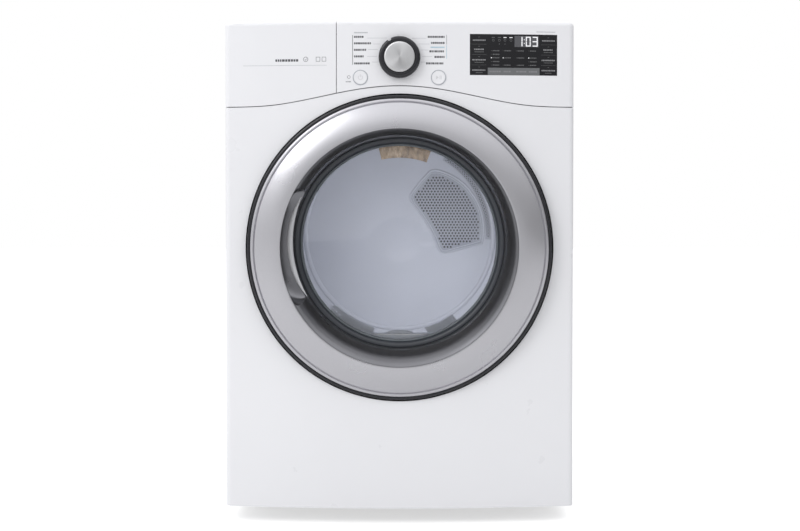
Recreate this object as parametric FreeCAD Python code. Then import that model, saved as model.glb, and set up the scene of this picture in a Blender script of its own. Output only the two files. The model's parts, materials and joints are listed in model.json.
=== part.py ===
"""Front-loading clothes dryer, one STEP file per sub-part, in millimetres.

+Z is up and the front faces -Y. The origin is on the floor, in the middle of the whole outline.
Pairs are (low, high) limits unless a comment says otherwise.
"""
import FreeCAD
import Part
import math
import os

Vector = FreeCAD.Vector

# Overall size
WIDTH = 686.0
HEIGHT = 983.0
DEPTH = 765.0
HALF_WIDTH = WIDTH / 2
FOOT_HEIGHT = 30.0

# Shared thicknesses and gaps
SHEET = 1.0
MOULDED = 2.5
PANEL_GAP = 0.8
RUNNING_FIT = 0.05
CLEARANCE = 0.3

# Cutting tools reach past the faces they open
OVERSHOOT = 1.0
FAR = 400.0
FAR_UP = 1100.0

# Cabinet faces, front to back
DOOR_CREST_Y = -DEPTH / 2
FRONT_MID_Y = -360.0
FRONT_BOW = 22.0
CORNER_RADIUS = 12.0
FRONT_EDGE_Y = FRONT_MID_Y + FRONT_BOW
FRONT_RETURN_Y = -300.0
REAR_Y = 352.0
TOP_EDGE_RADIUS = 8.0
TOP_SKIRT = 18.0
SIDE_FLANGE = 16.0
PANEL_TOP = HEIGHT - TOP_SKIRT - 0.5

# Seam between the front panel and the control fascia: a bell curve over the door
SEAM_END_Z = 816.5
SEAM_RISE = 40.0
SEAM_HALF_LENGTH = 300.0
SEAM_GAP = 1.6
SEAM_STEPS = 12
FASCIA_FOOT_Z = SEAM_END_Z - 30.0

# Control fascia
INSERT_EDGE_X = -123.0
INSERT_HALF_GAP = 0.6
KNOB_Z = 911.0
KNOB_RADIUS = 40.5
KNOB_CAP_RADIUS = 29.5
KNOB_FRONT_Y = -381.0
KNOB_CAP_HEIGHT = 5.0
KNOB_BACK_Y = -361.5
KNOB_SHAFT_RADIUS = 3.0
KNOB_SHAFT_END_Y = -340.0
KNOB_HOLE_RADIUS = 4.0
BUTTON_X = 76.0
BUTTON_Z = 872.5
BUTTON_RADIUS = 14.2
BUTTON_GAP = 0.4
BUTTON_BACK_Y = -352.0
BUTTON_TRAVEL = 1.5
DISPLAY_X = (137.0, 309.0)
DISPLAY_Z = (877.5, 957.5)
BOARD_X = (-100.0, 320.0)
BOARD_Z = (862.0, 966.0)
BOARD_Y = -334.0
BOARD_THICKNESS = 2.0
ENCODER_HALF = 18.0

# Back of the cabinet
SLOT_ROWS = 9
SLOT_PITCH = 14.0
SLOT_HEIGHT = 5.0
SLOT_HALF_LENGTH = 35.0
SLOT_X = 250.0
SLOT_FIRST_Z = 330.0
COVER_X = (-300.0, -200.0)
COVER_Z = (180.0, 282.0)
COVER_DEPTH = 30.0
TERMINAL_HOLE_X = (-280.0, -220.0)
TERMINAL_HOLE_Z = (215.0, 245.0)
CORD_ENTRY_RADIUS = 12.7
SCREW_HEAD_RADIUS = 4.6
SCREW_WASHER_RADIUS = 6.2
SCREW_WASHER = 0.8
SCREW_HEAD = 4.0

# Base and feet
PAN_INSET = 2.0
PAN_FRONT_Y = -322.0
PAN_LIP = (1.5, 25.0)  # thickness, height
BOSS_RADIUS = 11.0
BOSS_HEIGHT = 14.0
FOOT_X = 290.0
FOOT_Y = (-185.0, 300.0)
FOOT_STEM_RADIUS = 5.0
FOOT_STEM_TOP = 60.0
FOOT_PAD_RADIUS = 20.0
FOOT_PAD_HEIGHT = 8.0
FOOT_PAD_EDGE = 2.5
FOOT_NECK_RADII = (14.0, 7.0)  # bottom, top
FOOT_NUT_RADIUS = 9.0
FOOT_NUT_Z = 22.0

# Door. Its outer rings share one centre; the window, opening and drum share another just above it
DOOR_Z = 541.0
AXIS_Z = 549.0
RECESS_RADIUS = 300.5
RECESS_FLOOR_Y = -328.0
DOOR_RADIUS = 297.5
DOOR_WALL = 3.0
DOOR_LIP_Y = -364.0
DOOR_LIP_RADIUS = 284.0
DOOR_BACK_Y = -337.0
TRIM_RADIUS = 291.0
TRIM_EDGE_Y = -368.0
TRIM_MIDDLE_RADIUS = 262.0
CREST_RADIUS = 231.0
FUNNEL_FRONT_Y = -379.6
FUNNEL_RINGS = ((215.0, -361.0, 4.0), (208.8, -340.0, 8.0))  # radius, y, rise of the centre over DOOR_Z
FUNNEL_WALL = 2.5
FUNNEL_REAR_Y = -311.5
WINDOW_RING_OUTER = 209.0
WINDOW_RING_INNER = 193.0
WINDOW_RING_Y = -311.0
GLASS_RADIUS = 200.0
GLASS_Y = -294.0
GLASS_THICKNESS = 4.0
GLASS_FLAT_RADIUS = 40.0
GLASS_FLAT_Y = -276.0
GLASS_BOWL_MIDDLE = (115.0, -280.2)  # radius, y
GLASS_BOWL_RADIUS = 190.0
PLUG_RADIUS = 216.0
PLUG_WALL = 3.8
PLUG_BACK_Y = -287.0
PLUG_INNER_RADIUS = 194.0
INNER_COVER = 2.0
OPENING_RADIUS = 222.0
SEAL_RADII = (226.0, 240.0)
SEAL_CREST_Y = -328.6

# Finger pocket at the left of the door
POCKET_HALF_ANGLE = 28.0
POCKET_RADIUS = 264.0
POCKET_WALL = 2.0
POCKET_FRONT_Y = -374.0
POCKET_FLOOR_Y = -345.0
POCKET_FLOOR_RADII = (200.0, 212.0)  # opening, cup
GRIP_TIP = (-198.0, 100.0)  # x, height over DOOR_Z
GRIP_OUTER_X = -223.5
GRIP_INNER_X = -212.0
GRIP_FRONT_Y = -349.0

# Hinge at the right of the door, latch at its left
HINGE_X = 282.0
HINGE_Y = -355.0
HINGE_PIN_RADIUS = 3.0
HINGE_KNUCKLE_RADIUS = 6.0
HINGE_ARM = (56.0, 64.0)
HINGE_ARM_REACH = 29.0
HINGE_ARM_HALF = 3.0
HINGE_NOTCH_Y = (-361.2, -330.0)
HINGE_NOTCH_X = (HINGE_X - 26.0, 310.0)
HINGE_SLOT_X = (HINGE_X - 35.0, HINGE_X - 16.0)
HINGE_PLATE_X = (HINGE_X - 36.0, HINGE_X + 13.0)
HINGE_PLATE_HALF_HEIGHT = 76.0
HINGE_PLATE = 3.0
HINGE_PIN_REACH = (68.0, 66.0)  # below, above DOOR_Z
LEAF_PLATE_X = (HINGE_X - 46.0, HINGE_X + 2.0)
LEAF_PLATE_Y = -343.0
LEAF_WEB_HALF = 4.0
LEAF_WEB_Y = (-352.0, -341.0)
LATCH_X = -250.0
LATCH_SLOT_HALF = (6.0, 14.0)  # x, z
STRIKE_PLATE_X = (LATCH_X - 12.0, LATCH_X + 9.0)
STRIKE_PLATE_HALF_HEIGHT = 22.0
STRIKE_HOOK_HALF = (2.5, 8.0)  # x, z
STRIKE_HOOK_END_Y = -312.0
STRIKE_WINDOW_Y = (-322.0, -316.0)
STRIKE_WINDOW_HALF_HEIGHT = 4.0
CATCH_HALF = (16.0, 26.0)  # x, z
CATCH_BACK_Y = -303.0
CATCH_POCKET_HALF = (7.0, 15.0)  # x, z
CATCH_POCKET_END_Y = -306.0

# Drum and bulkheads
DRUM_RADIUS = 305.0
DRUM_FRONT_Y = -222.0
DRUM_REAR_Y = 285.0
DRUM_NECK_RADIUS = 268.0
DRUM_NECK_LENGTH = 14.0
BAFFLE_Y = (-190.0, 250.0)
BAFFLE_HEIGHT = 62.0
BAFFLE_HALF_BASE = 38.0
BAFFLE_HALF_CREST = 9.0
BAFFLE_CREST_DROP = 6.0
BAFFLE_WALL = 3.0
BAFFLE_ANGLES = (30, 150, 270)
THROAT_RADIUS = 225.0
THROAT_WALL = 2.0
FRONT_BULKHEAD_Y = -240.0
FRONT_COLLAR_RADII = (262.5, 264.5)
FRONT_COLLAR_END_Y = -212.0
FRONT_SEAL_Y = (-235.0, -215.0)
REAR_BULKHEAD_Y = 300.0
REAR_COLLAR_RADII = (296.0, 298.0)
REAR_COLLAR_START_Y = 270.0
REAR_SEAL_Y = (272.0, 284.0)
BULKHEAD_HALF_WIDTH = HALF_WIDTH - SHEET - 0.5
FRONT_BULKHEAD_Z = (212.0, 862.0)
REAR_BULKHEAD_Z = (212.0, 866.0)

# Hot-air inlet in the rear wall: a fan and a narrow strip round one centre, right of the drum axis
INLET_CENTRE = (60.0, AXIS_Z + 15.0)  # x, z
FAN_RADIUS = 150.0
FAN_ANGLES = (-17.5, 81.0)
FAN_LEFT = (24.0, AXIS_Z + 93.0)  # x, z
FAN_NOTCH = (80.0, AXIS_Z - 13.0)  # x, z
FAN_FOOT = (105.0, AXIS_Z - 48.0)  # x, z
STRIP_RADII = (168.0, 182.0)
STRIP_ANGLES = (-4.0, 73.0)
INLET_BORDER = 8.0
STRIP_BORDER = 3.0
INLET_PLATE = 4.0

# Lamp lens, an arc near the top of the rear wall
LAMP_RADII = (190.0, 221.0)
LAMP_ANGLES = (69.5, 103.5)
LAMP_DEPTH = 8.0

# Drum rollers
ROLLER_RADIUS = 38.0
ROLLER_ANGLE = 35.0
ROLLER_TREAD_Y = (263.0, 282.0)
ROLLER_HUB_Y = (260.0, 285.0)
ROLLER_HUB_RADIUS = 14.0
ROLLER_EDGE = 1.5
AXLE_RADIUS = 6.0
AXLE_Y = (256.0, 306.0)
AXLE_COLLAR_RADIUS = 9.0
AXLE_COLLAR_Y = (254.0, 259.0)
AXLE_SHOULDER_RADIUS = 11.0
AXLE_SHOULDER_Y = 286.0

# Air path
SHELF_Z = 362.0
SHELF_THICKNESS = 3.0
SHELF_HALF_WIDTH = 119.0
DUCT_HALF_WIDTH = 112.0
DUCT_FRONT_Y = -283.0
DUCT_REAR_Y = -242.0
DUCT_WALL = 2.0
DUCT_FOOT_Z = 62.0
DUCT_OUTLET_RADIUS = 60.0
OUTLET_FACE_RADII = (184.0, THROAT_RADIUS - 0.6)
OUTLET_FACE_ANGLES = ((226.0, 254.0), (287.0, 304.0))
OUTLET_FACE_TOP_Z = 398.0
FILTER_HALF_WIDTH = 100.0
FILTER_Y = (-262.0, -247.0)
FILTER_FOOT_Z = 210.0
FILTER_FRAME = 8.0
FILTER_MESH_HALF = 0.6
FILTER_RIM = (0.6, 3.0)
FILTER_GRIP_HALF_WIDTH = 36.0
FILTER_GRIP_HEIGHT = 16.0
FILTER_GRIP_INSET = 4.0
SENSOR_BAR_HALF_LENGTH = 60.0
SENSOR_BAR_Y = (-280.0, -271.0)  # front edge of each bar
SENSOR_BAR_WIDTH = 3.0
SENSOR_BAR_HEIGHT = 2.0
BLOWER_RADIUS = 92.0
BLOWER_Y = (-237.0, -172.0)
BLOWER_WALL = 2.0
CHUTE_RIGHT_X = 192.0
CHUTE_Z = (42.0, 148.0)
SNOUT_RADII = (58.0, 60.0)
WHEEL_RADIUS = 79.0
WHEEL_GAP = 8.0
WHEEL_DISC = 3.0
WHEEL_RING = (63.0, 2.5)  # inner radius, thickness
WHEEL_HUB = (16.0, 25.0)  # radius, length
WHEEL_BLADES = 20
BLADE_RADII = (65.0, 77.0)
BLADE_HALF = 1.0
EXHAUST_RADIUS = 50.8
EXHAUST_STEP = 0.6
EXHAUST_COLLAR_Y = REAR_Y + 0.5
EXHAUST_X = 140.0
EXHAUST_Z = 95.0
HEATER_X = (16.0, 250.0)
HEATER_Z = (150.0, 752.0)
HEATER_GAP = 4.0
ELEMENT_RADIUS = 4.0
ELEMENT_PITCH = 36.0
ELEMENT_ROWS = 6
ELEMENT_MARGIN = 30.0
ELEMENT_Y = 326.0
ELEMENT_Z = 180.0
ELEMENT_BLOCK_HALF = 10.0

# Motor, belt and idler
MOTOR_Z = 132.0
MOTOR_RADIUS = 65.0
MOTOR_BELL_RADIUS = 57.0
MOTOR_BELL = 12.0
MOTOR_Y = (-150.0, -20.0)
BRACKET_HALF_WIDTH = 70.0
BRACKET_THICKNESS = 4.0
CRADLE_HALF_WIDTH = 52.0
CRADLE_INSET = 16.0
CRADLE_WIDTH = 10.0
CRADLE_TOP_Z = 100.0
SHAFT_RADIUS = 6.35
SHAFT_END_Y = 34.0
PULLEY_RADIUS = 9.0
PULLEY_FLANGE = (13.0, 2.0)  # radius, thickness
BELT_Y = (8.0, 22.0)
BELT_THICKNESS = 1.5
IDLER_RADIUS = 22.0
IDLER_BORE_RADIUS = 5.0
IDLER_PIVOT = (-150.0, 62.0)  # x, z
IDLER_AXLE_RADIUS = 6.0
IDLER_AXLE_Y = (-16.0, 18.0)
IDLER_CAP_RADIUS = 9.0
IDLER_CAP_Y = (-18.0, -15.0)
IDLER_ARM_Y = (-1.0, 4.0)
IDLER_ARM_HALF = 9.0
IDLER_ARM_END_RADII = (11.0, 13.0)  # pulley end, pivot end
IDLER_STUB_END_Y = 30.0
IDLER_FOOT_HALF = 30.0
IDLER_FOOT_Y = (5.0, 45.0)
IDLER_POST_HALF = 14.0
IDLER_POST_Y = (16.0, 22.0)
SPRING_RADIUS = 9.0
SPRING_WIRE_RADIUS = 1.1
SPRING_TURNS = 4
SPRING_PITCH = 2.4
SPRING_FIRST_Y = -3.0


def box(x0, x1, y0, y1, z0, z1):
    return Part.makeBox(x1 - x0, y1 - y0, z1 - z0, Vector(x0, y0, z0))


def rod_x(radius, x0, x1, y, z):
    return Part.makeCylinder(radius, x1 - x0, Vector(x0, y, z), Vector(1, 0, 0))


def rod_y(radius, y0, y1, x=0.0, z=AXIS_Z):
    return Part.makeCylinder(radius, y1 - y0, Vector(x, y0, z), Vector(0, 1, 0))


def rod_z(radius, z0, z1, x, y):
    return Part.makeCylinder(radius, z1 - z0, Vector(x, y, z0))


def tube_y(outer, inner, y0, y1, x=0.0, z=AXIS_Z):
    return rod_y(outer, y0, y1, x, z).cut(rod_y(inner, y0 - OVERSHOOT, y1 + OVERSHOOT, x, z))


def joined(first, *others):
    """One solid from touching or overlapping solids."""
    return first.multiFuse(list(others)).removeSplitter()


def outline(to_point, start, *steps):
    """Closed wire from 2-D points. A step is a point, or (middle, end) of an arc."""
    edges = []
    here = start
    for step in list(steps) + [start]:
        if isinstance(step[0], tuple):
            middle, end = step
            edges.append(Part.Arc(to_point(here), to_point(middle), to_point(end)).toShape())
        else:
            end = step
            if end != here:
                edges.append(Part.LineSegment(to_point(here), to_point(end)).toShape())
        here = end
    return Part.Wire(edges)


def turned(start, *steps, x=0.0, z=AXIS_Z):
    """Solid of revolution about a line along Y, from an outline of (radius, y)."""
    wire = outline(lambda p: Vector(x + p[0], p[1], z), start, *steps)
    return Part.Face(wire).revolve(Vector(x, 0, z), Vector(0, 1, 0), 360)


def plan_prism(start, *steps, z0, z1):
    """Upright solid from an outline of (x, y)."""
    wire = outline(lambda p: Vector(p[0], p[1], z0), start, *steps)
    return Part.Face(wire).extrude(Vector(0, 0, z1 - z0))


def front_prism(start, *steps, y0, y1):
    """Solid along Y from an outline of (x, z)."""
    wire = outline(lambda p: Vector(p[0], y0, p[1]), start, *steps)
    return Part.Face(wire).extrude(Vector(0, y1 - y0, 0))


def polar(radius, angle, centre=(0.0, AXIS_Z)):
    """(x, z) at a radius from a centre, the angle in degrees from +X towards +Z."""
    turn = math.radians(angle)
    return centre[0] + radius * math.cos(turn), centre[1] + radius * math.sin(turn)


def arc_band(radii, angles, y0, y1, centre=(0.0, AXIS_Z)):
    """Part of a flat ring, between two radii and two angles."""
    inner, outer = radii
    first, last = angles
    middle = (first + last) / 2
    return front_prism(polar(outer, first, centre),
                       (polar(outer, middle, centre), polar(outer, last, centre)),
                       polar(inner, last, centre),
                       (polar(inner, middle, centre), polar(inner, first, centre)),
                       y0=y0, y1=y1)


def hexagon(radius, x, z):
    """Corners (x, z) of a hexagon."""
    return [polar(radius, 60 * index, (x, z)) for index in range(6)]


def front_block(inset, z0, z1, edge_radius=0.0):
    """Solid behind the bowed front face, moved inwards by inset, back to the side returns."""
    side = HALF_WIDTH - inset
    corner = CORNER_RADIUS - inset
    edge_y = FRONT_EDGE_Y + inset
    diagonal = corner * (1 - math.sqrt(0.5))
    centre_x = side - corner
    left_corner = ((-side + diagonal, edge_y + diagonal), (-centre_x, edge_y))
    right_corner = ((side - diagonal, edge_y + diagonal), (side, edge_y + corner))
    block = plan_prism((-side, FRONT_RETURN_Y), (-side, edge_y + corner), left_corner,
                       ((0.0, FRONT_MID_Y + inset), (centre_x, edge_y)), right_corner,
                       (side, FRONT_RETURN_Y), z0=z0, z1=z1)
    if edge_radius:
        top_edges = [edge for edge in block.Edges if edge.BoundBox.ZMin > z1 - 0.01
                     and edge.BoundBox.YMin < FRONT_RETURN_Y - OVERSHOOT]
        block = block.makeFillet(edge_radius, top_edges)
    return block


def seam_height(x):
    reach = min(abs(x) / SEAM_HALF_LENGTH, 1.0)
    return SEAM_END_Z + SEAM_RISE * 0.5 * (1 + math.cos(math.pi * reach))


def above_seam(offset):
    """Everything over the seam line, raised by offset."""
    points = [Vector(-FAR, -FAR, SEAM_END_Z + offset)]
    for index in range(SEAM_STEPS + 1):
        x = SEAM_HALF_LENGTH * (2 * index / SEAM_STEPS - 1)
        points.append(Vector(x, -FAR, seam_height(x) + offset))
    points.append(Vector(FAR, -FAR, SEAM_END_Z + offset))
    curve = Part.BSplineCurve()
    curve.interpolate(points)
    high_left = Vector(-FAR, -FAR, FAR_UP)
    high_right = Vector(FAR, -FAR, FAR_UP)
    wire = Part.Wire([curve.toShape(), Part.makeLine(points[-1], high_right),
                      Part.makeLine(high_right, high_left), Part.makeLine(high_left, points[0])])
    return Part.Face(wire).extrude(Vector(0, FAR, 0))


def hinge_slots(x_limits, y_limits, margin):
    """Two clearance boxes for the hinge arms, one each side of the door's centre height."""
    low, high = HINGE_ARM
    upper = box(*x_limits, *y_limits, DOOR_Z + low - margin, DOOR_Z + high + margin)
    lower = box(*x_limits, *y_limits, DOOR_Z - high - margin, DOOR_Z - low + margin)
    return Part.makeCompound([upper, lower])


# ---- cabinet ----

def front_panel():
    outer = front_block(0, FOOT_HEIGHT, HEIGHT)
    hollow = front_block(SHEET, FOOT_HEIGHT - OVERSHOOT, HEIGHT + OVERSHOOT)
    behind = box(-HALF_WIDTH + SHEET, HALF_WIDTH - SHEET, FRONT_RETURN_Y - OVERSHOOT, 0, 0, FAR_UP)
    skin = outer.cut(hollow.fuse(behind)).cut(rod_y(RECESS_RADIUS, -FAR, FRONT_RETURN_Y, z=DOOR_Z))
    floor_back_y = RECESS_FLOOR_Y + SHEET
    wall = tube_y(RECESS_RADIUS + SHEET, RECESS_RADIUS, -FAR, floor_back_y, z=DOOR_Z).common(outer)
    floor = rod_y(RECESS_RADIUS + SHEET, RECESS_FLOOR_Y, floor_back_y, z=DOOR_Z)
    floor = floor.cut(rod_y(OPENING_RADIUS, RECESS_FLOOR_Y - OVERSHOOT, floor_back_y + OVERSHOOT))
    flange = tube_y(OPENING_RADIUS + SHEET, OPENING_RADIUS, RECESS_FLOOR_Y, FRONT_RETURN_Y)
    panel = joined(skin, wall, floor, flange).cut(above_seam(-SEAM_GAP / 2))
    half_x, half_z = LATCH_SLOT_HALF
    floor_y = (RECESS_FLOOR_Y - OVERSHOOT, floor_back_y + OVERSHOOT)
    latch_slot = box(LATCH_X - half_x, LATCH_X + half_x, *floor_y, DOOR_Z - half_z, DOOR_Z + half_z)
    return panel.cut(latch_slot).cut(hinge_slots(HINGE_SLOT_X, floor_y, 2))


def fascia_shell():
    outer = front_block(0, FASCIA_FOOT_Z, HEIGHT, TOP_EDGE_RADIUS)
    inner = front_block(MOULDED, FASCIA_FOOT_Z - OVERSHOOT, HEIGHT - MOULDED, TOP_EDGE_RADIUS - MOULDED)
    back = box(-HALF_WIDTH + MOULDED, HALF_WIDTH - MOULDED, FRONT_RETURN_Y - OVERSHOOT,
               FRONT_RETURN_Y + OVERSHOOT, 0, HEIGHT - MOULDED)
    return outer.cut(inner.fuse(back)).common(above_seam(SEAM_GAP / 2))


def display_block():
    return box(*DISPLAY_X, -FAR, FRONT_RETURN_Y - OVERSHOOT, *DISPLAY_Z)


def left_of(x):
    """Everything at the front of the cabinet left of x."""
    return box(-FAR, x, -FAR, FRONT_RETURN_Y + OVERSHOOT, 0, FAR_UP)


def control_fascia():
    shell = fascia_shell().cut(left_of(INSERT_EDGE_X + INSERT_HALF_GAP))
    holes = [display_block(), rod_y(KNOB_HOLE_RADIUS, -FAR, FRONT_RETURN_Y, z=KNOB_Z)]
    for side in (-1, 1):
        holes.append(rod_y(BUTTON_RADIUS + BUTTON_GAP, -FAR, BOARD_Y, side * BUTTON_X, BUTTON_Z))
    return shell.cut(Part.makeCompound(holes))


def fascia_end_panel():
    return fascia_shell().common(left_of(INSERT_EDGE_X - INSERT_HALF_GAP))


def display_window():
    return fascia_shell().common(display_block())


def control_board():
    """Board with the selector's encoder on its front."""
    board = box(*BOARD_X, BOARD_Y, BOARD_Y + BOARD_THICKNESS, *BOARD_Z)
    encoder = box(-ENCODER_HALF, ENCODER_HALF, BUTTON_BACK_Y, BOARD_Y,
                  KNOB_Z - ENCODER_HALF, KNOB_Z + ENCODER_HALF)
    bore = rod_y(KNOB_SHAFT_RADIUS + RUNNING_FIT, BUTTON_BACK_Y - OVERSHOOT,
                 KNOB_SHAFT_END_Y + 2 * OVERSHOOT, z=KNOB_Z)
    return joined(board, encoder).cut(bore)


def top_arch(inset, front_y, rear_y):
    """Solid under the top's rounded side edges, moved inwards by inset."""
    side = HALF_WIDTH - inset
    top = HEIGHT - inset
    turn = TOP_EDGE_RADIUS - inset
    diagonal = turn * (1 - math.sqrt(0.5))
    low = HEIGHT - TOP_SKIRT
    return front_prism((-side, low), (-side, top - turn),
                       ((-side + diagonal, top - diagonal), (-side + turn, top)), (side - turn, top),
                       ((side - diagonal, top - diagonal), (side, top - turn)), (side, low),
                       y0=front_y, y1=rear_y)


def top_panel():
    front_y = FRONT_RETURN_Y + PANEL_GAP
    hollow = top_arch(SHEET, front_y - OVERSHOOT, REAR_Y - SHEET)
    return top_arch(0, front_y, REAR_Y).cut(hollow)


def side_panel(side):
    """Sheet with a rear flange and a top flange; side is -1 for left and 1 for right."""
    front_y = FRONT_RETURN_Y + PANEL_GAP
    rear_y = REAR_Y - SHEET
    sheet_x = sorted((side * HALF_WIDTH, side * (HALF_WIDTH - SHEET)))
    flange_x = sorted((side * HALF_WIDTH, side * (HALF_WIDTH - SIDE_FLANGE)))
    sheet = box(*sheet_x, front_y, rear_y, FOOT_HEIGHT, PANEL_TOP)
    rear_flange = box(*flange_x, rear_y - SHEET, rear_y, FOOT_HEIGHT, PANEL_TOP)
    top_flange = box(*flange_x, front_y, rear_y, PANEL_TOP - SHEET, PANEL_TOP)
    return joined(sheet, rear_flange, top_flange)


def vent_slots():
    """Rows of intake slots at both sides of the back."""
    slots = []
    for side in (-1, 1):
        for row in range(SLOT_ROWS):
            x = side * SLOT_X
            z = SLOT_FIRST_Z + SLOT_PITCH * row
            slots.append(box(x - SLOT_HALF_LENGTH, x + SLOT_HALF_LENGTH, REAR_Y - SHEET - OVERSHOOT,
                             REAR_Y + OVERSHOOT, z, z + SLOT_HEIGHT))
    return slots


def rear_panel():
    side = HALF_WIDTH - CLEARANCE
    front_y = REAR_Y - SHEET
    sheet = box(-side, side, front_y, REAR_Y, FOOT_HEIGHT, PANEL_TOP)
    exhaust = rod_y(EXHAUST_RADIUS + 2 * CLEARANCE, front_y - OVERSHOOT, REAR_Y + OVERSHOOT,
                    EXHAUST_X, EXHAUST_Z)
    terminal = box(*TERMINAL_HOLE_X, front_y - OVERSHOOT, REAR_Y + OVERSHOOT, *TERMINAL_HOLE_Z)
    return sheet.cut(Part.makeCompound([exhaust, terminal, *vent_slots()]))


def terminal_cover():
    """Cover over the supply terminals, with the cord's entry hole in its bottom wall."""
    left, right = COVER_X
    low, high = COVER_Z
    back_y = REAR_Y + COVER_DEPTH
    outer = box(left, right, REAR_Y, back_y, low, high)
    hollow = box(left + MOULDED, right - MOULDED, REAR_Y - OVERSHOOT, back_y - SHEET,
                 low + MOULDED, high - MOULDED)
    entry = rod_z(CORD_ENTRY_RADIUS, low - OVERSHOOT, low + MOULDED + OVERSHOOT, (left + right) / 2,
                  REAR_Y + (COVER_DEPTH - SHEET) / 2)
    return outer.cut(hollow).cut(entry)


def base_pan():
    side = HALF_WIDTH - PAN_INSET
    lip, lip_height = PAN_LIP
    floor = box(-side, side, PAN_FRONT_Y, REAR_Y - PAN_INSET, FOOT_HEIGHT, FOOT_HEIGHT + SHEET)
    front = box(-side, side, PAN_FRONT_Y, PAN_FRONT_Y + lip, FOOT_HEIGHT, FOOT_HEIGHT + lip_height)
    bosses = []
    bores = []
    for x in (-FOOT_X, FOOT_X):
        for y in FOOT_Y:
            bosses.append(rod_z(BOSS_RADIUS, FOOT_HEIGHT, FOOT_HEIGHT + BOSS_HEIGHT, x, y))
            bores.append(rod_z(FOOT_STEM_RADIUS + RUNNING_FIT, 0, FOOT_STEM_TOP + OVERSHOOT, x, y))
    return joined(floor, front, *bosses).cut(Part.makeCompound(bores))


def levelling_foot(x, y):
    """Rubber-edged pad, neck, nut and threaded stem, taken as plain."""
    pad = rod_z(FOOT_PAD_RADIUS, 0, FOOT_PAD_HEIGHT, x, y)
    rim = [edge for edge in pad.Edges if edge.BoundBox.ZMin > FOOT_PAD_HEIGHT - 0.1]
    pad = pad.makeFillet(FOOT_PAD_EDGE, rim)
    neck = Part.makeCone(*FOOT_NECK_RADII, 6, Vector(x, y, FOOT_PAD_HEIGHT))
    corners = hexagon(FOOT_NUT_RADIUS, x, y)
    nut = plan_prism(corners[0], *corners[1:], z0=FOOT_NUT_Z, z1=FOOT_HEIGHT - CLEARANCE)
    stem = rod_z(FOOT_STEM_RADIUS, FOOT_PAD_HEIGHT, FOOT_STEM_TOP, x, y)
    return joined(pad, neck, stem, nut)


def cabinet_screws():
    """Hexagon screw heads round the back panel."""
    places = [(x, z) for x in (-333, 333) for z in (60, 240, 420, 600, 780, 940)]
    places += [(x, 48) for x in (-200, 0, 240)]
    places += [(x, 955) for x in (-180, 0, 180)]
    heads = []
    for x, z in places:
        corners = hexagon(SCREW_HEAD_RADIUS, x, z)
        head = front_prism(corners[0], *corners[1:], y0=REAR_Y + SCREW_WASHER, y1=REAR_Y + SCREW_HEAD)
        washer = rod_y(SCREW_WASHER_RADIUS, REAR_Y, REAR_Y + SCREW_WASHER, x, z)
        heads.append(joined(head, washer))
    return Part.makeCompound(heads)


# ---- controls ----

def selector_ring():
    front_y = KNOB_FRONT_Y + KNOB_CAP_HEIGHT
    radius = KNOB_RADIUS
    body = turned((0, KNOB_BACK_Y), (radius - 1, KNOB_BACK_Y), (radius, KNOB_BACK_Y - 1),
                  (radius, front_y + 2), ((radius - 0.6, front_y + 0.6), (radius - 2, front_y)),
                  (0, front_y), z=KNOB_Z)
    shaft = rod_y(KNOB_SHAFT_RADIUS, KNOB_BACK_Y - OVERSHOOT, KNOB_SHAFT_END_Y, z=KNOB_Z)
    return joined(body, shaft)


def selector_cap():
    back_y = KNOB_FRONT_Y + KNOB_CAP_HEIGHT
    front_y = KNOB_FRONT_Y
    radius = KNOB_CAP_RADIUS
    return turned((0, back_y), (radius, back_y), (radius, front_y + 1.5),
                  ((radius - 0.5, front_y + 0.5), (radius - 1.5, front_y)), (0, front_y), z=KNOB_Z)


def push_button(x):
    """Domed cap on a stem; the stem stops just short of the board at full travel."""
    radius = BUTTON_RADIUS
    crown_y = FRONT_MID_Y - 1.8
    cap = turned((0, crown_y), ((radius * 0.6, crown_y + 0.5), (radius - 1.2, crown_y + 1.2)),
                 ((radius - 0.3, crown_y + 1.6), (radius, crown_y + 2.4)), (radius, BUTTON_BACK_Y),
                 (0, BUTTON_BACK_Y), x=x, z=BUTTON_Z)
    stem = rod_y(KNOB_SHAFT_RADIUS, BUTTON_BACK_Y, BOARD_Y - BUTTON_TRAVEL - 1, x, BUTTON_Z)
    return joined(cap, stem)


# ---- door ----

def door_trim_ring():
    """Shallow dish rising from the door's rim to a crest round the funnel."""
    rim, middle, crest = TRIM_RADIUS, TRIM_MIDDLE_RADIUS, CREST_RADIUS
    return turned((rim, DOOR_LIP_Y), ((rim - 0.9, TRIM_EDGE_Y + 1.1), (rim - 3.5, TRIM_EDGE_Y)),
                  ((middle, -377.2), (crest + 3, DOOR_CREST_Y + 0.2)),
                  ((crest + 1.2, DOOR_CREST_Y), (crest, DOOR_CREST_Y + 1.3)),
                  (crest + 2.5, FUNNEL_FRONT_Y + 0.2), ((middle, -374.6), (rim - 5, TRIM_EDGE_Y + 3)),
                  (rim - 5, DOOR_LIP_Y), z=DOOR_Z)


def door_frame():
    rim = tube_y(DOOR_RADIUS, DOOR_RADIUS - DOOR_WALL, DOOR_LIP_Y, DOOR_BACK_Y, z=DOOR_Z)
    lip = tube_y(DOOR_RADIUS, DOOR_LIP_RADIUS, DOOR_LIP_Y, DOOR_LIP_Y + MOULDED, z=DOOR_Z)
    return joined(rim, lip).cut(hinge_slots(HINGE_NOTCH_X, HINGE_NOTCH_Y, 3))


def pocket_sector(outer, inner, y0, y1, half_angle):
    """Part of a ring on the left side of the door."""
    return arc_band((inner, outer), (180 - half_angle, 180 + half_angle), y0, y1, (0.0, DOOR_Z))


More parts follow.
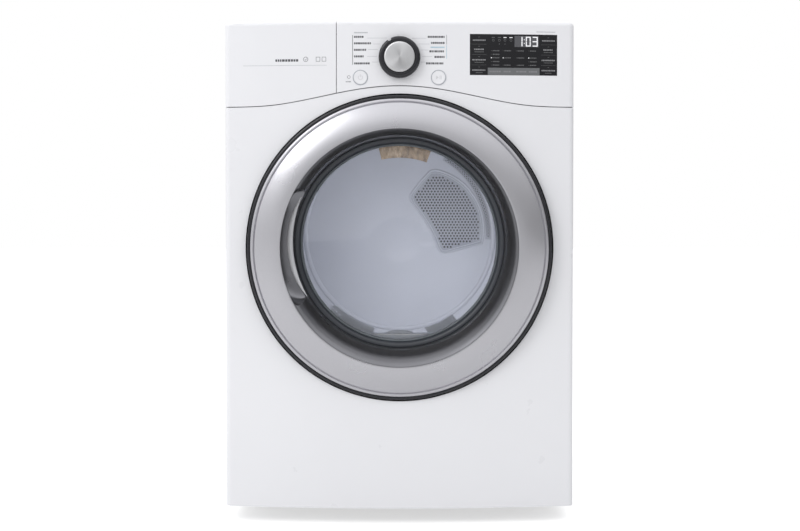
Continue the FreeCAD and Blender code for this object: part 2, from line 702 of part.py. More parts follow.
def lofted(grow):
    """Smooth solid through the funnel's rings, each grown by grow."""
    rings = [(CREST_RADIUS - 0.4, FUNNEL_FRONT_Y, 0.0), *FUNNEL_RINGS,
             (WINDOW_RING_OUTER - 2, FUNNEL_REAR_Y, AXIS_Z - DOOR_Z)]
    wires = []
    for radius, y, rise in rings:
        circle = Part.Circle(Vector(0, y, DOOR_Z + rise), Vector(0, 1, 0), radius + grow)
        wires.append(Part.Wire(circle.toShape()))
    return Part.makeLoft(wires, True)


def door_funnel():
    """Dark funnel from the trim ring's crest down to the window, with the finger pocket's cup."""
    funnel = lofted(FUNNEL_WALL).cut(lofted(0))
    opening_radius, cup_radius = POCKET_FLOOR_RADII
    opening = pocket_sector(POCKET_RADIUS - POCKET_WALL, opening_radius, POCKET_FRONT_Y, POCKET_FLOOR_Y,
                            POCKET_HALF_ANGLE - 1)
    cup = pocket_sector(POCKET_RADIUS, cup_radius, POCKET_FRONT_Y, POCKET_FLOOR_Y + POCKET_WALL,
                        POCKET_HALF_ANGLE)
    return joined(funnel.cut(opening), cup.cut(opening))


def door_handle_grip():
    """Crescent on the floor of the finger pocket."""
    tip_x, tip_rise = GRIP_TIP
    upper = (tip_x, DOOR_Z + tip_rise)
    lower = (tip_x, DOOR_Z - tip_rise)
    return front_prism(lower, ((GRIP_OUTER_X, DOOR_Z), upper), ((GRIP_INNER_X, DOOR_Z), lower),
                       y0=GRIP_FRONT_Y, y1=POCKET_FLOOR_Y)


def window_ring():
    outer, inner = WINDOW_RING_OUTER, WINDOW_RING_INNER
    return turned((outer, WINDOW_RING_Y + 2),
                  ((outer - 1.5, WINDOW_RING_Y), (outer - 4, WINDOW_RING_Y + 0.5)),
                  (inner, GLASS_Y - 6), (inner, GLASS_Y), (outer, GLASS_Y))


def door_glass():
    """Flat flange, then a bowl bulging into the drum, with a flat middle."""
    thickness = GLASS_THICKNESS
    flat_y = GLASS_FLAT_Y
    bowl_radius, bowl_y = GLASS_BOWL_MIDDLE
    flat = rod_y(GLASS_FLAT_RADIUS, flat_y, flat_y + thickness)
    bowl = turned((GLASS_FLAT_RADIUS - 1, flat_y), (GLASS_FLAT_RADIUS, flat_y),
                  (GLASS_BOWL_MIDDLE, (GLASS_BOWL_RADIUS, GLASS_Y)), (GLASS_RADIUS, GLASS_Y),
                  (GLASS_RADIUS, GLASS_Y + thickness), (GLASS_BOWL_RADIUS + 1, GLASS_Y + thickness),
                  ((bowl_radius, bowl_y + thickness), (GLASS_FLAT_RADIUS, flat_y + thickness)),
                  (GLASS_FLAT_RADIUS - 1, flat_y + thickness))
    return joined(flat, bowl)


def door_inner_panel():
    """Flat back of the door and the plug that enters the opening."""
    inner = PLUG_RADIUS - PLUG_WALL
    front_y = DOOR_BACK_Y - INNER_COVER
    cover = rod_y(DOOR_RADIUS - DOOR_WALL, front_y, DOOR_BACK_Y, z=DOOR_Z)
    cover = cover.cut(rod_y(inner, front_y - OVERSHOOT, DOOR_BACK_Y + OVERSHOOT))
    plug = tube_y(PLUG_RADIUS, inner, front_y, PLUG_BACK_Y)
    end = tube_y(PLUG_RADIUS, PLUG_INNER_RADIUS, GLASS_Y + GLASS_THICKNESS, PLUG_BACK_Y)
    return joined(cover, plug, end).cut(hinge_slots(HINGE_NOTCH_X, HINGE_NOTCH_Y, 3))


def door_seal():
    inner, outer = SEAL_RADII
    shoulder_y = DOOR_BACK_Y + 4
    return turned((inner, DOOR_BACK_Y), (inner, shoulder_y),
                  ((inner + 2, SEAL_CREST_Y - 1.4), ((inner + outer) / 2, SEAL_CREST_Y)),
                  ((outer - 2, SEAL_CREST_Y - 1.4), (outer, shoulder_y)), (outer, DOOR_BACK_Y))


def door_strike():
    half_x, half_z = STRIKE_HOOK_HALF
    plate_half = STRIKE_PLATE_HALF_HEIGHT
    window_half = STRIKE_WINDOW_HALF_HEIGHT
    plate = box(*STRIKE_PLATE_X, DOOR_BACK_Y, DOOR_BACK_Y + 2, DOOR_Z - plate_half, DOOR_Z + plate_half)
    hook = box(LATCH_X - half_x, LATCH_X + half_x, DOOR_BACK_Y, STRIKE_HOOK_END_Y,
               DOOR_Z - half_z, DOOR_Z + half_z)
    window = box(LATCH_X - half_x - OVERSHOOT, LATCH_X + half_x + OVERSHOOT, *STRIKE_WINDOW_Y,
                 DOOR_Z - window_half, DOOR_Z + window_half)
    return joined(plate, hook).cut(window)


def latch_catch():
    half_x, half_z = CATCH_HALF
    pocket_x, pocket_z = CATCH_POCKET_HALF
    front_y = RECESS_FLOOR_Y + SHEET
    body = box(LATCH_X - half_x, LATCH_X + half_x, front_y, CATCH_BACK_Y, DOOR_Z - half_z, DOOR_Z + half_z)
    pocket = box(LATCH_X - pocket_x, LATCH_X + pocket_x, front_y - OVERSHOOT, CATCH_POCKET_END_Y,
                 DOOR_Z - pocket_z, DOOR_Z + pocket_z)
    return body.cut(pocket)


def hinge_bore(radius):
    reach = HINGE_PLATE_HALF_HEIGHT + OVERSHOOT
    return rod_z(radius, DOOR_Z - reach, DOOR_Z + reach, HINGE_X, HINGE_Y)


def hinge_bracket():
    """Plate behind the door recess with two arms that reach forward to the hinge line."""
    plate_y = RECESS_FLOOR_Y + SHEET
    plate = box(*HINGE_PLATE_X, plate_y, plate_y + HINGE_PLATE,
                DOOR_Z - HINGE_PLATE_HALF_HEIGHT, DOOR_Z + HINGE_PLATE_HALF_HEIGHT)
    low, high = HINGE_ARM
    half = HINGE_ARM_HALF * math.sqrt(0.5)
    foot_x = HINGE_X - HINGE_ARM_REACH
    foot_y = HINGE_Y + HINGE_ARM_REACH
    arms = []
    for z0 in (DOOR_Z + low, DOOR_Z - high):
        z1 = z0 + high - low
        arms.append(plan_prism((HINGE_X - half, HINGE_Y - half), (HINGE_X + half, HINGE_Y + half),
                               (foot_x + half, foot_y + half), (foot_x - half, foot_y - half),
                               z0=z0, z1=z1))
        arms.append(rod_z(HINGE_KNUCKLE_RADIUS, z0, z1, HINGE_X, HINGE_Y))
    return joined(plate, *arms).cut(hinge_bore(HINGE_PIN_RADIUS))


def hinge_pin():
    below, above = HINGE_PIN_REACH
    top = DOOR_Z + above
    shaft = rod_z(HINGE_PIN_RADIUS, DOOR_Z - below, top, HINGE_X, HINGE_Y)
    head = rod_z(HINGE_KNUCKLE_RADIUS - 1, DOOR_Z + HINGE_ARM[1], top + 0.5, HINGE_X, HINGE_Y)
    return joined(shaft, head)


def hinge_leaf():
    """Long knuckle between the arms, with a web back to the plate inside the door."""
    reach = HINGE_ARM[0] - 2
    knuckle = rod_z(HINGE_KNUCKLE_RADIUS, DOOR_Z - reach, DOOR_Z + reach, HINGE_X, HINGE_Y)
    plate_z = (DOOR_Z - reach + 2, DOOR_Z + reach - 2)
    plate = box(*LEAF_PLATE_X, LEAF_PLATE_Y, DOOR_BACK_Y - INNER_COVER, *plate_z)
    web = box(HINGE_X - LEAF_WEB_HALF, HINGE_X + LEAF_WEB_HALF, *LEAF_WEB_Y, *plate_z)
    return joined(knuckle, web, plate).cut(hinge_bore(HINGE_PIN_RADIUS + RUNNING_FIT))


# ---- drum and bulkheads ----

def drum_shell():
    shoulder_y = DRUM_FRONT_Y + SHEET
    skin = tube_y(DRUM_RADIUS, DRUM_RADIUS - SHEET, DRUM_FRONT_Y, DRUM_REAR_Y)
    shoulder = tube_y(DRUM_RADIUS, DRUM_NECK_RADIUS, DRUM_FRONT_Y, shoulder_y)
    neck = tube_y(DRUM_NECK_RADIUS + SHEET, DRUM_NECK_RADIUS, DRUM_FRONT_Y - DRUM_NECK_LENGTH, shoulder_y)
    return joined(skin, shoulder, neck)


def baffle_block(wall, base_drop):
    """Lifter at the bottom of the drum, thinned by wall on every side, its base lowered by base_drop."""
    base_z = AXIS_Z - DRUM_RADIUS + SHEET + 2.4 - base_drop
    crest_z = AXIS_Z - DRUM_RADIUS + SHEET + BAFFLE_HEIGHT - wall
    half_base = BAFFLE_HALF_BASE - wall
    half_crest = BAFFLE_HALF_CREST - wall / 2
    shoulder_z = crest_z - BAFFLE_CREST_DROP
    return front_prism((-half_base, base_z), (-half_crest, shoulder_z),
                       ((0, crest_z), (half_crest, shoulder_z)), (half_base, base_z),
                       y0=BAFFLE_Y[0] + wall, y1=BAFFLE_Y[1] - wall)


def drum_baffles():
    """Three hollow lifters along the inside of the drum."""
    shell = baffle_block(0, 0).cut(baffle_block(BAFFLE_WALL, OVERSHOOT))
    fins = []
    for angle in BAFFLE_ANGLES:
        fin = shell.copy()
        fin.rotate(Vector(0, 0, AXIS_Z), Vector(0, 1, 0), angle)
        fins.append(fin)
    return Part.makeCompound(fins)


def front_bulkhead():
    """Plate behind the front panel, with the throat and the collar that carries the drum's front."""
    half = BULKHEAD_HALF_WIDTH
    back_y = FRONT_BULKHEAD_Y + SHEET
    front_y = FRONT_RETURN_Y + PANEL_GAP + 0.2
    plate = box(-half, half, FRONT_BULKHEAD_Y, back_y, *FRONT_BULKHEAD_Z)
    plate = plate.cut(rod_y(THROAT_RADIUS, FRONT_BULKHEAD_Y - OVERSHOOT, back_y + OVERSHOOT))
    throat = tube_y(THROAT_RADIUS + THROAT_WALL, THROAT_RADIUS, front_y, back_y)
    duct_gap = box(-DUCT_HALF_WIDTH, DUCT_HALF_WIDTH, DUCT_FRONT_Y, FRONT_BULKHEAD_Y, 0, SHELF_Z)
    inner, outer = FRONT_COLLAR_RADII
    collar = tube_y(outer, inner, FRONT_BULKHEAD_Y, FRONT_COLLAR_END_Y)
    return joined(plate, throat.cut(duct_gap), collar)


def drum_seals():
    """Felt rings under the drum's neck and round its rear edge."""
    front = tube_y(DRUM_NECK_RADIUS - CLEARANCE, FRONT_COLLAR_RADII[1], *FRONT_SEAL_Y)
    rear = tube_y(DRUM_RADIUS - SHEET - CLEARANCE, REAR_COLLAR_RADII[1], *REAR_SEAL_Y)
    return Part.makeCompound([front, rear])


def inlet_fan(grow, y0, y1):
    """Fan shape of the hot-air inlet, grown outwards."""
    first, last = FAN_ANGLES
    radius = FAN_RADIUS + grow
    start = polar(radius, last, INLET_CENTRE)
    middle = polar(radius, (first + last) / 2, INLET_CENTRE)
    end = polar(radius, first, INLET_CENTRE)
    left = (FAN_LEFT[0] - grow, FAN_LEFT[1])
    foot = (FAN_FOOT[0], FAN_FOOT[1] - grow)
    notch = (FAN_NOTCH[0] - grow, FAN_NOTCH[1])
    return front_prism(left, start, (middle, end), foot, notch, y0=y0, y1=y1)


def inlet_strip(grow, y0, y1):
    """Narrow arc beside the fan, round the same centre."""
    inner, outer = STRIP_RADII
    return arc_band((inner - grow, outer + grow), STRIP_ANGLES, y0, y1, INLET_CENTRE)


def rear_bulkhead():
    """Rear wall of the drum with its inlet holes, the roller axles' holes and a collar."""
    half = BULKHEAD_HALF_WIDTH
    front_y = REAR_BULKHEAD_Y
    back_y = front_y + SHEET
    hole_y = (front_y - OVERSHOOT, back_y + OVERSHOOT)
    plate = box(-half, half, front_y, back_y, *REAR_BULKHEAD_Z)
    inner, outer = REAR_COLLAR_RADII
    collar = tube_y(outer, inner, REAR_COLLAR_START_Y, back_y)
    holes = [inlet_fan(-INLET_BORDER, *hole_y), inlet_strip(-STRIP_BORDER, *hole_y)]
    for x, z in roller_places():
        holes.append(rod_y(AXLE_RADIUS, *hole_y, x, z))
    return joined(plate, collar).cut(Part.makeCompound(holes))


def inlet_grille():
    plate_y = (REAR_BULKHEAD_Y - INLET_PLATE, REAR_BULKHEAD_Y)
    return Part.makeCompound([inlet_fan(0, *plate_y), inlet_strip(0, *plate_y)])


def drum_lamp():
    return arc_band(LAMP_RADII, LAMP_ANGLES, REAR_BULKHEAD_Y - LAMP_DEPTH, REAR_BULKHEAD_Y)


def roller_places():
    """Centres of the two rear rollers as (x, z)."""
    reach = DRUM_RADIUS + CLEARANCE + ROLLER_RADIUS
    return [polar(reach, 270 - ROLLER_ANGLE), polar(reach, 270 + ROLLER_ANGLE)]


def drum_roller(index):
    x, z = roller_places()[index]
    bore = AXLE_RADIUS + RUNNING_FIT
    hub, radius, edge = ROLLER_HUB_RADIUS, ROLLER_RADIUS, ROLLER_EDGE
    hub_front, hub_rear = ROLLER_HUB_Y
    front, rear = ROLLER_TREAD_Y
    return turned((bore, hub_front), (hub, hub_front), (hub, front), (radius - edge, front),
                  (radius, front + edge), (radius, rear - edge), (radius - edge, rear), (hub, rear),
                  (hub, hub_rear), (bore, hub_rear), x=x, z=z)


def roller_axles():
    """Two stub axles with a retaining collar in front of each roller."""
    axles = []
    for x, z in roller_places():
        shoulder = rod_y(AXLE_SHOULDER_RADIUS, AXLE_SHOULDER_Y, REAR_BULKHEAD_Y, x, z)
        collar = rod_y(AXLE_COLLAR_RADIUS, *AXLE_COLLAR_Y, x, z)
        axles.append(joined(rod_y(AXLE_RADIUS, *AXLE_Y, x, z), collar, shoulder))
    return Part.makeCompound(axles)


# ---- air path ----

def lint_duct():
    """Box under the shelf that leads down to the blower's inlet."""
    half = DUCT_HALF_WIDTH
    wall = DUCT_WALL
    outer = box(-half, half, DUCT_FRONT_Y, DUCT_REAR_Y, DUCT_FOOT_Z, SHELF_Z - SHELF_THICKNESS)
    hollow = box(-half + wall, half - wall, DUCT_FRONT_Y + wall, DUCT_REAR_Y - wall,
                 DUCT_FOOT_Z + wall, SHELF_Z)
    outlet = rod_y(DUCT_OUTLET_RADIUS, DUCT_REAR_Y - wall - OVERSHOOT, DUCT_REAR_Y + OVERSHOOT, 0, MOTOR_Z)
    return outer.cut(hollow).cut(outlet)


def outlet_grille():
    """Shelf at the bottom of the mouth with the filter's slot, and an upright face at each side."""
    half = SHELF_HALF_WIDTH
    under_z = SHELF_Z - SHELF_THICKNESS
    shelf = box(-half, half, DUCT_FRONT_Y, DUCT_REAR_Y, under_z, SHELF_Z)
    slot_half = FILTER_HALF_WIDTH + OVERSHOOT
    slot = box(-slot_half, slot_half, FILTER_Y[0] - OVERSHOOT, FILTER_Y[1] + OVERSHOOT,
               under_z - OVERSHOOT, SHELF_Z + OVERSHOOT)
    over_shelf = box(-FAR, FAR, DUCT_FRONT_Y, DUCT_REAR_Y, under_z, OUTLET_FACE_TOP_Z)
    faces = []
    for angles in OUTLET_FACE_ANGLES:
        face = arc_band(OUTLET_FACE_RADII, angles, DUCT_REAR_Y - SHELF_THICKNESS, DUCT_REAR_Y)
        faces.append(face.common(over_shelf))
    return joined(shelf.cut(slot), *faces)


def lint_filter():
    """Framed screen that stands in the duct, with a rim on the shelf and a grip."""
    half = FILTER_HALF_WIDTH
    border = FILTER_FRAME
    y0, y1 = FILTER_Y
    middle_y = (y0 + y1) / 2
    foot_z = FILTER_FOOT_Z
    window_top = SHELF_Z - 12
    rim_low, rim_high = FILTER_RIM
    frame = box(-half, half, y0, y1, foot_z, SHELF_Z + 1)
    window = box(-half + border, half - border, y0 - OVERSHOOT, y1 + OVERSHOOT, foot_z + border, window_top)
    mesh = box(-half + border - 1, half - border + 1, middle_y - FILTER_MESH_HALF,
               middle_y + FILTER_MESH_HALF, foot_z + border - 1, window_top + 1)
    rim = box(-half, half, y0, y1, SHELF_Z + rim_low, SHELF_Z + rim_high)
    grip = box(-FILTER_GRIP_HALF_WIDTH, FILTER_GRIP_HALF_WIDTH, y0 + FILTER_GRIP_INSET,
               y1 - FILTER_GRIP_INSET, SHELF_Z + rim_high, SHELF_Z + FILTER_GRIP_HEIGHT)
    return joined(frame.cut(window), mesh, rim, grip)


def moisture_bars():
    """Two metal strips on the shelf that feel the damp laundry."""
    bars = []
    for y in SENSOR_BAR_Y:
        bars.append(box(-SENSOR_BAR_HALF_LENGTH, SENSOR_BAR_HALF_LENGTH, y, y + SENSOR_BAR_WIDTH,
                        SHELF_Z, SHELF_Z + SENSOR_BAR_HEIGHT))
    return Part.makeCompound(bars)


def blower_housing():
    """Round scroll with a chute to the exhaust and a snout from the lint duct."""
    y0, y1 = BLOWER_Y
    wall = BLOWER_WALL
    chute_low, chute_high = CHUTE_Z
    scroll = rod_y(BLOWER_RADIUS, y0, y1, 0, MOTOR_Z)
    chute = box(0, CHUTE_RIGHT_X, y0, y1, chute_low, chute_high)
    hollow = joined(rod_y(BLOWER_RADIUS - wall, y0 + wall, y1 - wall, 0, MOTOR_Z),
                    box(0, CHUTE_RIGHT_X - wall, y0 + wall, y1 - wall, chute_low + wall, chute_high - wall))
    inner, outer = SNOUT_RADII
    inlet = rod_y(inner, y0 - OVERSHOOT, y0 + wall + OVERSHOOT, 0, MOTOR_Z)
    snout = tube_y(outer, inner, DUCT_REAR_Y, y0 + 1, 0, MOTOR_Z)
    outlet = rod_y(EXHAUST_RADIUS - SHEET, y1 - wall - OVERSHOOT, y1 + OVERSHOOT, EXHAUST_X, EXHAUST_Z)
    shaft_hole = rod_y(SHAFT_RADIUS + 2, y1 - wall - OVERSHOOT, y1 + OVERSHOOT, 0, MOTOR_Z)
    shell = joined(scroll, chute).cut(hollow).cut(inlet)
    return joined(shell, snout).cut(outlet.fuse(shaft_hole))


def blower_wheel():
    """Squirrel-cage wheel: back disc, hub, front ring and a ring of blades."""
    y0 = BLOWER_Y[0] + WHEEL_GAP
    y1 = BLOWER_Y[1] - WHEEL_GAP
    ring_inner, ring_thickness = WHEEL_RING
    hub_radius, hub_length = WHEEL_HUB
    disc = rod_y(WHEEL_RADIUS, y1 - WHEEL_DISC, y1, 0, MOTOR_Z)
    front = tube_y(WHEEL_RADIUS, ring_inner, y0, y0 + ring_thickness, 0, MOTOR_Z)
    hub = rod_y(hub_radius, y1 - hub_length, y1, 0, MOTOR_Z)
    blades = []
    for index in range(WHEEL_BLADES):
        blade = box(*BLADE_RADII, y0 + 1, y1 - 1, MOTOR_Z - BLADE_HALF, MOTOR_Z + BLADE_HALF)
        blade.rotate(Vector(0, 0, MOTOR_Z), Vector(0, 1, 0), 360 / WHEEL_BLADES * index)
        blades.append(blade)
    bore = rod_y(SHAFT_RADIUS, y0 - OVERSHOOT, y1 + OVERSHOOT, 0, MOTOR_Z)
    return joined(disc, front, hub, *blades).cut(bore)


def exhaust_duct():
    """Pipe through the cabinet, with a slightly wider collar outside the back."""
    bore = EXHAUST_RADIUS - SHEET
    pipe = tube_y(EXHAUST_RADIUS - EXHAUST_STEP, bore, BLOWER_Y[1], EXHAUST_COLLAR_Y, EXHAUST_X, EXHAUST_Z)
    collar = tube_y(EXHAUST_RADIUS, bore, EXHAUST_COLLAR_Y, DEPTH / 2, EXHAUST_X, EXHAUST_Z)
    return joined(pipe, collar)


def heater_housing():
    """Shallow box behind the rear wall, open at its foot and towards the inlet."""
    x0, x1 = HEATER_X
    z0, z1 = HEATER_Z
    front_y = REAR_BULKHEAD_Y + SHEET
    back_y = REAR_Y - HEATER_GAP
    outer = box(x0, x1, front_y, back_y, z0, z1)
    hollow = box(x0 + SHEET, x1 - SHEET, front_y - OVERSHOOT, back_y - SHEET, z0 - OVERSHOOT, z1 - SHEET)
    return outer.cut(hollow)


def heater_element():
    """Sheathed rod bent to and fro across the housing."""
    left = HEATER_X[0] + ELEMENT_MARGIN
    right = HEATER_X[1] - ELEMENT_MARGIN
    bend_radius = ELEMENT_PITCH / 2
    pieces = []
    for row in range(ELEMENT_ROWS):
        pieces.append(rod_x(ELEMENT_RADIUS, left, right, ELEMENT_Y, ELEMENT_Z + ELEMENT_PITCH * row))
    for row in range(ELEMENT_ROWS - 1):
        z = ELEMENT_Z + ELEMENT_PITCH * row + bend_radius
        end_x, keep_x = (right, (right, FAR)) if row % 2 == 0 else (left, (-FAR, left))
        bend = Part.makeTorus(bend_radius, ELEMENT_RADIUS, Vector(end_x, ELEMENT_Y, z), Vector(0, 1, 0))
        pieces.append(bend.common(box(*keep_x, 0, FAR, 0, FAR_UP)))
    half = ELEMENT_BLOCK_HALF
    block = box(left - 2 * half, left + half, ELEMENT_Y - half, ELEMENT_Y + half,
                ELEMENT_Z - half, ELEMENT_Z + half)
    return joined(block, *pieces)


# ---- motor, belt and idler ----

def motor_body():
    y0, y1 = MOTOR_Y
    body = rod_y(MOTOR_RADIUS, y0 + MOTOR_BELL, y1 - MOTOR_BELL, 0, MOTOR_Z)
    bells = [rod_y(MOTOR_BELL_RADIUS, y0, y0 + MOTOR_BELL, 0, MOTOR_Z),
             rod_y(MOTOR_BELL_RADIUS, y1 - MOTOR_BELL, y1, 0, MOTOR_Z)]
    bore = rod_y(SHAFT_RADIUS + RUNNING_FIT, y0 - OVERSHOOT, y1 + OVERSHOOT, 0, MOTOR_Z)
    return joined(body, *bells).cut(bore)


def motor_bracket():
    """Foot plate with two cradles under the motor."""
    base_z = FOOT_HEIGHT + SHEET
    y0, y1 = MOTOR_Y
    plate = box(-BRACKET_HALF_WIDTH, BRACKET_HALF_WIDTH, y0, y1, base_z, base_z + BRACKET_THICKNESS)
    cradles = []
    for y in (y0 + CRADLE_INSET, y1 - CRADLE_INSET - CRADLE_WIDTH):
        cradles.append(box(-CRADLE_HALF_WIDTH, CRADLE_HALF_WIDTH, y, y + CRADLE_WIDTH, base_z, CRADLE_TOP_Z))
    seat = rod_y(MOTOR_RADIUS, y0 - OVERSHOOT, y1 + OVERSHOOT, 0, MOTOR_Z)
    return joined(plate, *cradles).cut(seat)


def motor_shaft():
    """Rotor shaft with the belt pulley on its rear end."""
    flange_radius, flange = PULLEY_FLANGE
    shaft = rod_y(SHAFT_RADIUS, BLOWER_Y[0] + WHEEL_GAP - 2, SHAFT_END_Y, 0, MOTOR_Z)
    pulley_y = (BELT_Y[0] - 2, BELT_Y[1] + 2)
    pulley = rod_y(PULLEY_RADIUS, *pulley_y, 0, MOTOR_Z)
    front = rod_y(flange_radius, pulley_y[0] - flange, pulley_y[0], 0, MOTOR_Z)
    rear = rod_y(flange_radius, pulley_y[1], pulley_y[1] + flange, 0, MOTOR_Z)
    return joined(shaft, pulley, front, rear)


def belt_normal():
    """Unit normal (x, z) of the belt's left straight run, pointing away from the loop."""
    normal_z = (PULLEY_RADIUS - DRUM_RADIUS) / (AXIS_Z - MOTOR_Z)
    return -math.sqrt(1 - normal_z ** 2), normal_z


def loop_prism(grow, y0, y1):
    """Drum and pulley circles with their two outer tangents, grown outwards."""
    normal_x, normal_z = belt_normal()
    big = DRUM_RADIUS + grow
    small = PULLEY_RADIUS + grow
    big_z = AXIS_Z + normal_z * big
    small_z = MOTOR_Z + normal_z * small
    wedge = front_prism((normal_x * big, big_z), (normal_x * small, small_z), (-normal_x * small, small_z),
                        (-normal_x * big, big_z), (0, AXIS_Z), y0=y0, y1=y1)
    return wedge.multiFuse([rod_y(big, y0, y1), rod_y(small, y0, y1, 0, MOTOR_Z)])


def drum_belt():
    y0, y1 = BELT_Y
    outer = loop_prism(CLEARANCE + BELT_THICKNESS, y0, y1)
    return outer.cut(loop_prism(CLEARANCE, y0 - OVERSHOOT, y1 + OVERSHOOT))


def idler_place():
    """Centre (x, z) of the idler pulley, outside the belt's left run."""
    normal_x, normal_z = belt_normal()
    reach = CLEARANCE + BELT_THICKNESS + CLEARANCE + IDLER_RADIUS
    along_x = normal_x * (DRUM_RADIUS + PULLEY_RADIUS) / 2
    along_z = (AXIS_Z + normal_z * DRUM_RADIUS + MOTOR_Z + normal_z * PULLEY_RADIUS) / 2
    return along_x + normal_x * reach, along_z + normal_z * reach


def idler_pulley():
    x, z = idler_place()
    return tube_y(IDLER_RADIUS, IDLER_BORE_RADIUS + RUNNING_FIT, BELT_Y[0] - 1, BELT_Y[1] + 1, x, z)


def idler_arm():
    """Link from the pivot to the pulley's stub axle."""
    x, z = idler_place()
    pivot_x, pivot_z = IDLER_PIVOT
    y0, y1 = IDLER_ARM_Y
    pulley_end, pivot_end = IDLER_ARM_END_RADII
    length = math.hypot(x - pivot_x, z - pivot_z)
    side_x = (z - pivot_z) / length * IDLER_ARM_HALF
    side_z = (pivot_x - x) / length * IDLER_ARM_HALF
    link = front_prism((x + side_x, z + side_z), (x - side_x, z - side_z),
                       (pivot_x - side_x, pivot_z - side_z), (pivot_x + side_x, pivot_z + side_z),
                       y0=y0, y1=y1)
    ends = [rod_y(pulley_end, y0, y1, x, z), rod_y(pivot_end, y0, y1, pivot_x, pivot_z)]
    stub = rod_y(IDLER_BORE_RADIUS, y1 - 1, IDLER_STUB_END_Y, x, z)
    bore = rod_y(IDLER_AXLE_RADIUS + RUNNING_FIT, y0 - OVERSHOOT, y1 + OVERSHOOT, pivot_x, pivot_z)
    return joined(link, *ends, stub).cut(bore)


def idler_bracket():
    """Foot and post that carry the arm's pivot axle."""
    pivot_x, pivot_z = IDLER_PIVOT
    base_z = FOOT_HEIGHT + SHEET
    foot = box(pivot_x - IDLER_FOOT_HALF, pivot_x + IDLER_FOOT_HALF, *IDLER_FOOT_Y, base_z,
               base_z + BRACKET_THICKNESS)
    post = box(pivot_x - IDLER_POST_HALF, pivot_x + IDLER_POST_HALF, *IDLER_POST_Y, base_z,
               pivot_z + IDLER_POST_HALF)
    axle = rod_y(IDLER_AXLE_RADIUS, *IDLER_AXLE_Y, pivot_x, pivot_z)
    cap = rod_y(IDLER_CAP_RADIUS, *IDLER_CAP_Y, pivot_x, pivot_z)
    return joined(foot, post, axle, cap)


def idler_spring():
    """Torsion spring round the arm's pivot, as closed turns of wire."""
    pivot_x, pivot_z = IDLER_PIVOT
    turns = []
    for index in range(SPRING_TURNS):
        centre = Vector(pivot_x, SPRING_FIRST_Y - SPRING_PITCH * index, pivot_z)
        turns.append(Part.makeTorus(SPRING_RADIUS, SPRING_WIRE_RADIUS, centre, Vector(0, 1, 0)))
    return Part.makeCompound(turns)


NODES = {
    "front_panel": front_panel,
    "control_fascia": control_fascia,
    "fascia_end_panel": fascia_end_panel,
    "display_window": display_window,
    "control_board": control_board,
    "top_panel": top_panel,
    "left_side_panel": lambda: side_panel(-1),
    "right_side_panel": lambda: side_panel(1),
    "rear_panel": rear_panel,
    "terminal_cover": terminal_cover,
    "base_pan": base_pan,
    "foot_front_left": lambda: levelling_foot(-FOOT_X, FOOT_Y[0]),
    "foot_front_right": lambda: levelling_foot(FOOT_X, FOOT_Y[0]),
    "foot_rear_left": lambda: levelling_foot(-FOOT_X, FOOT_Y[1]),
    "foot_rear_right": lambda: levelling_foot(FOOT_X, FOOT_Y[1]),
    "cabinet_screws": cabinet_screws,
    "selector_ring": selector_ring,
    "selector_cap": selector_cap,
    "power_button": lambda: push_button(-BUTTON_X),
    "start_button": lambda: push_button(BUTTON_X),
    "door_trim_ring": door_trim_ring,
    "door_frame": door_frame,
    "door_funnel": door_funnel,
    "door_handle_grip": door_handle_grip,
    "window_ring": window_ring,
    "door_glass": door_glass,
    "door_inner_panel": door_inner_panel,
    "door_seal": door_seal,
    "door_strike": door_strike,
    "latch_catch": latch_catch,
    "hinge_bracket": hinge_bracket,
    "hinge_pin": hinge_pin,
    "hinge_leaf": hinge_leaf,
    "drum_shell": drum_shell,
    "drum_baffles": drum_baffles,
    "front_bulkhead": front_bulkhead,
    "drum_seals": drum_seals,
    "rear_bulkhead": rear_bulkhead,
    "inlet_grille": inlet_grille,
    "drum_lamp": drum_lamp,
    "roller_left": lambda: drum_roller(0),
    "roller_right": lambda: drum_roller(1),
    "roller_axles": roller_axles,
    "lint_duct": lint_duct,
    "outlet_grille": outlet_grille,
    "lint_filter": lint_filter,
    "moisture_bars": moisture_bars,
    "blower_housing": blower_housing,
    "blower_wheel": blower_wheel,
    "exhaust_duct": exhaust_duct,
    "heater_housing": heater_housing,
    "heater_element": heater_element,
    "motor_body": motor_body,
    "motor_bracket": motor_bracket,
    "motor_shaft": motor_shaft,
    "drum_belt": drum_belt,
    "idler_arm": idler_arm,
    "idler_pulley": idler_pulley,
    "idler_bracket": idler_bracket,
    "idler_spring": idler_spring,
}


def main():
    os.makedirs("parts", exist_ok=True)
    for name, make in NODES.items():
        shape = make()
        shape.exportStep(f"parts/{name}.step")
        print(f"{name}: {len(shape.Solids)} solid(s), valid {shape.isValid()}, {shape.Volume / 1000:.1f} cm3")


main()
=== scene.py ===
"""The looks of a front-loading clothes dryer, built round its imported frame.

Shapes are worked out in millimetres in the frame's own axes and become metres as they turn into meshes.
"""
import json
import math
import random
import bmesh
import bpy
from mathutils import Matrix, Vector
from mathutils.geometry import delaunay_2d_cdt


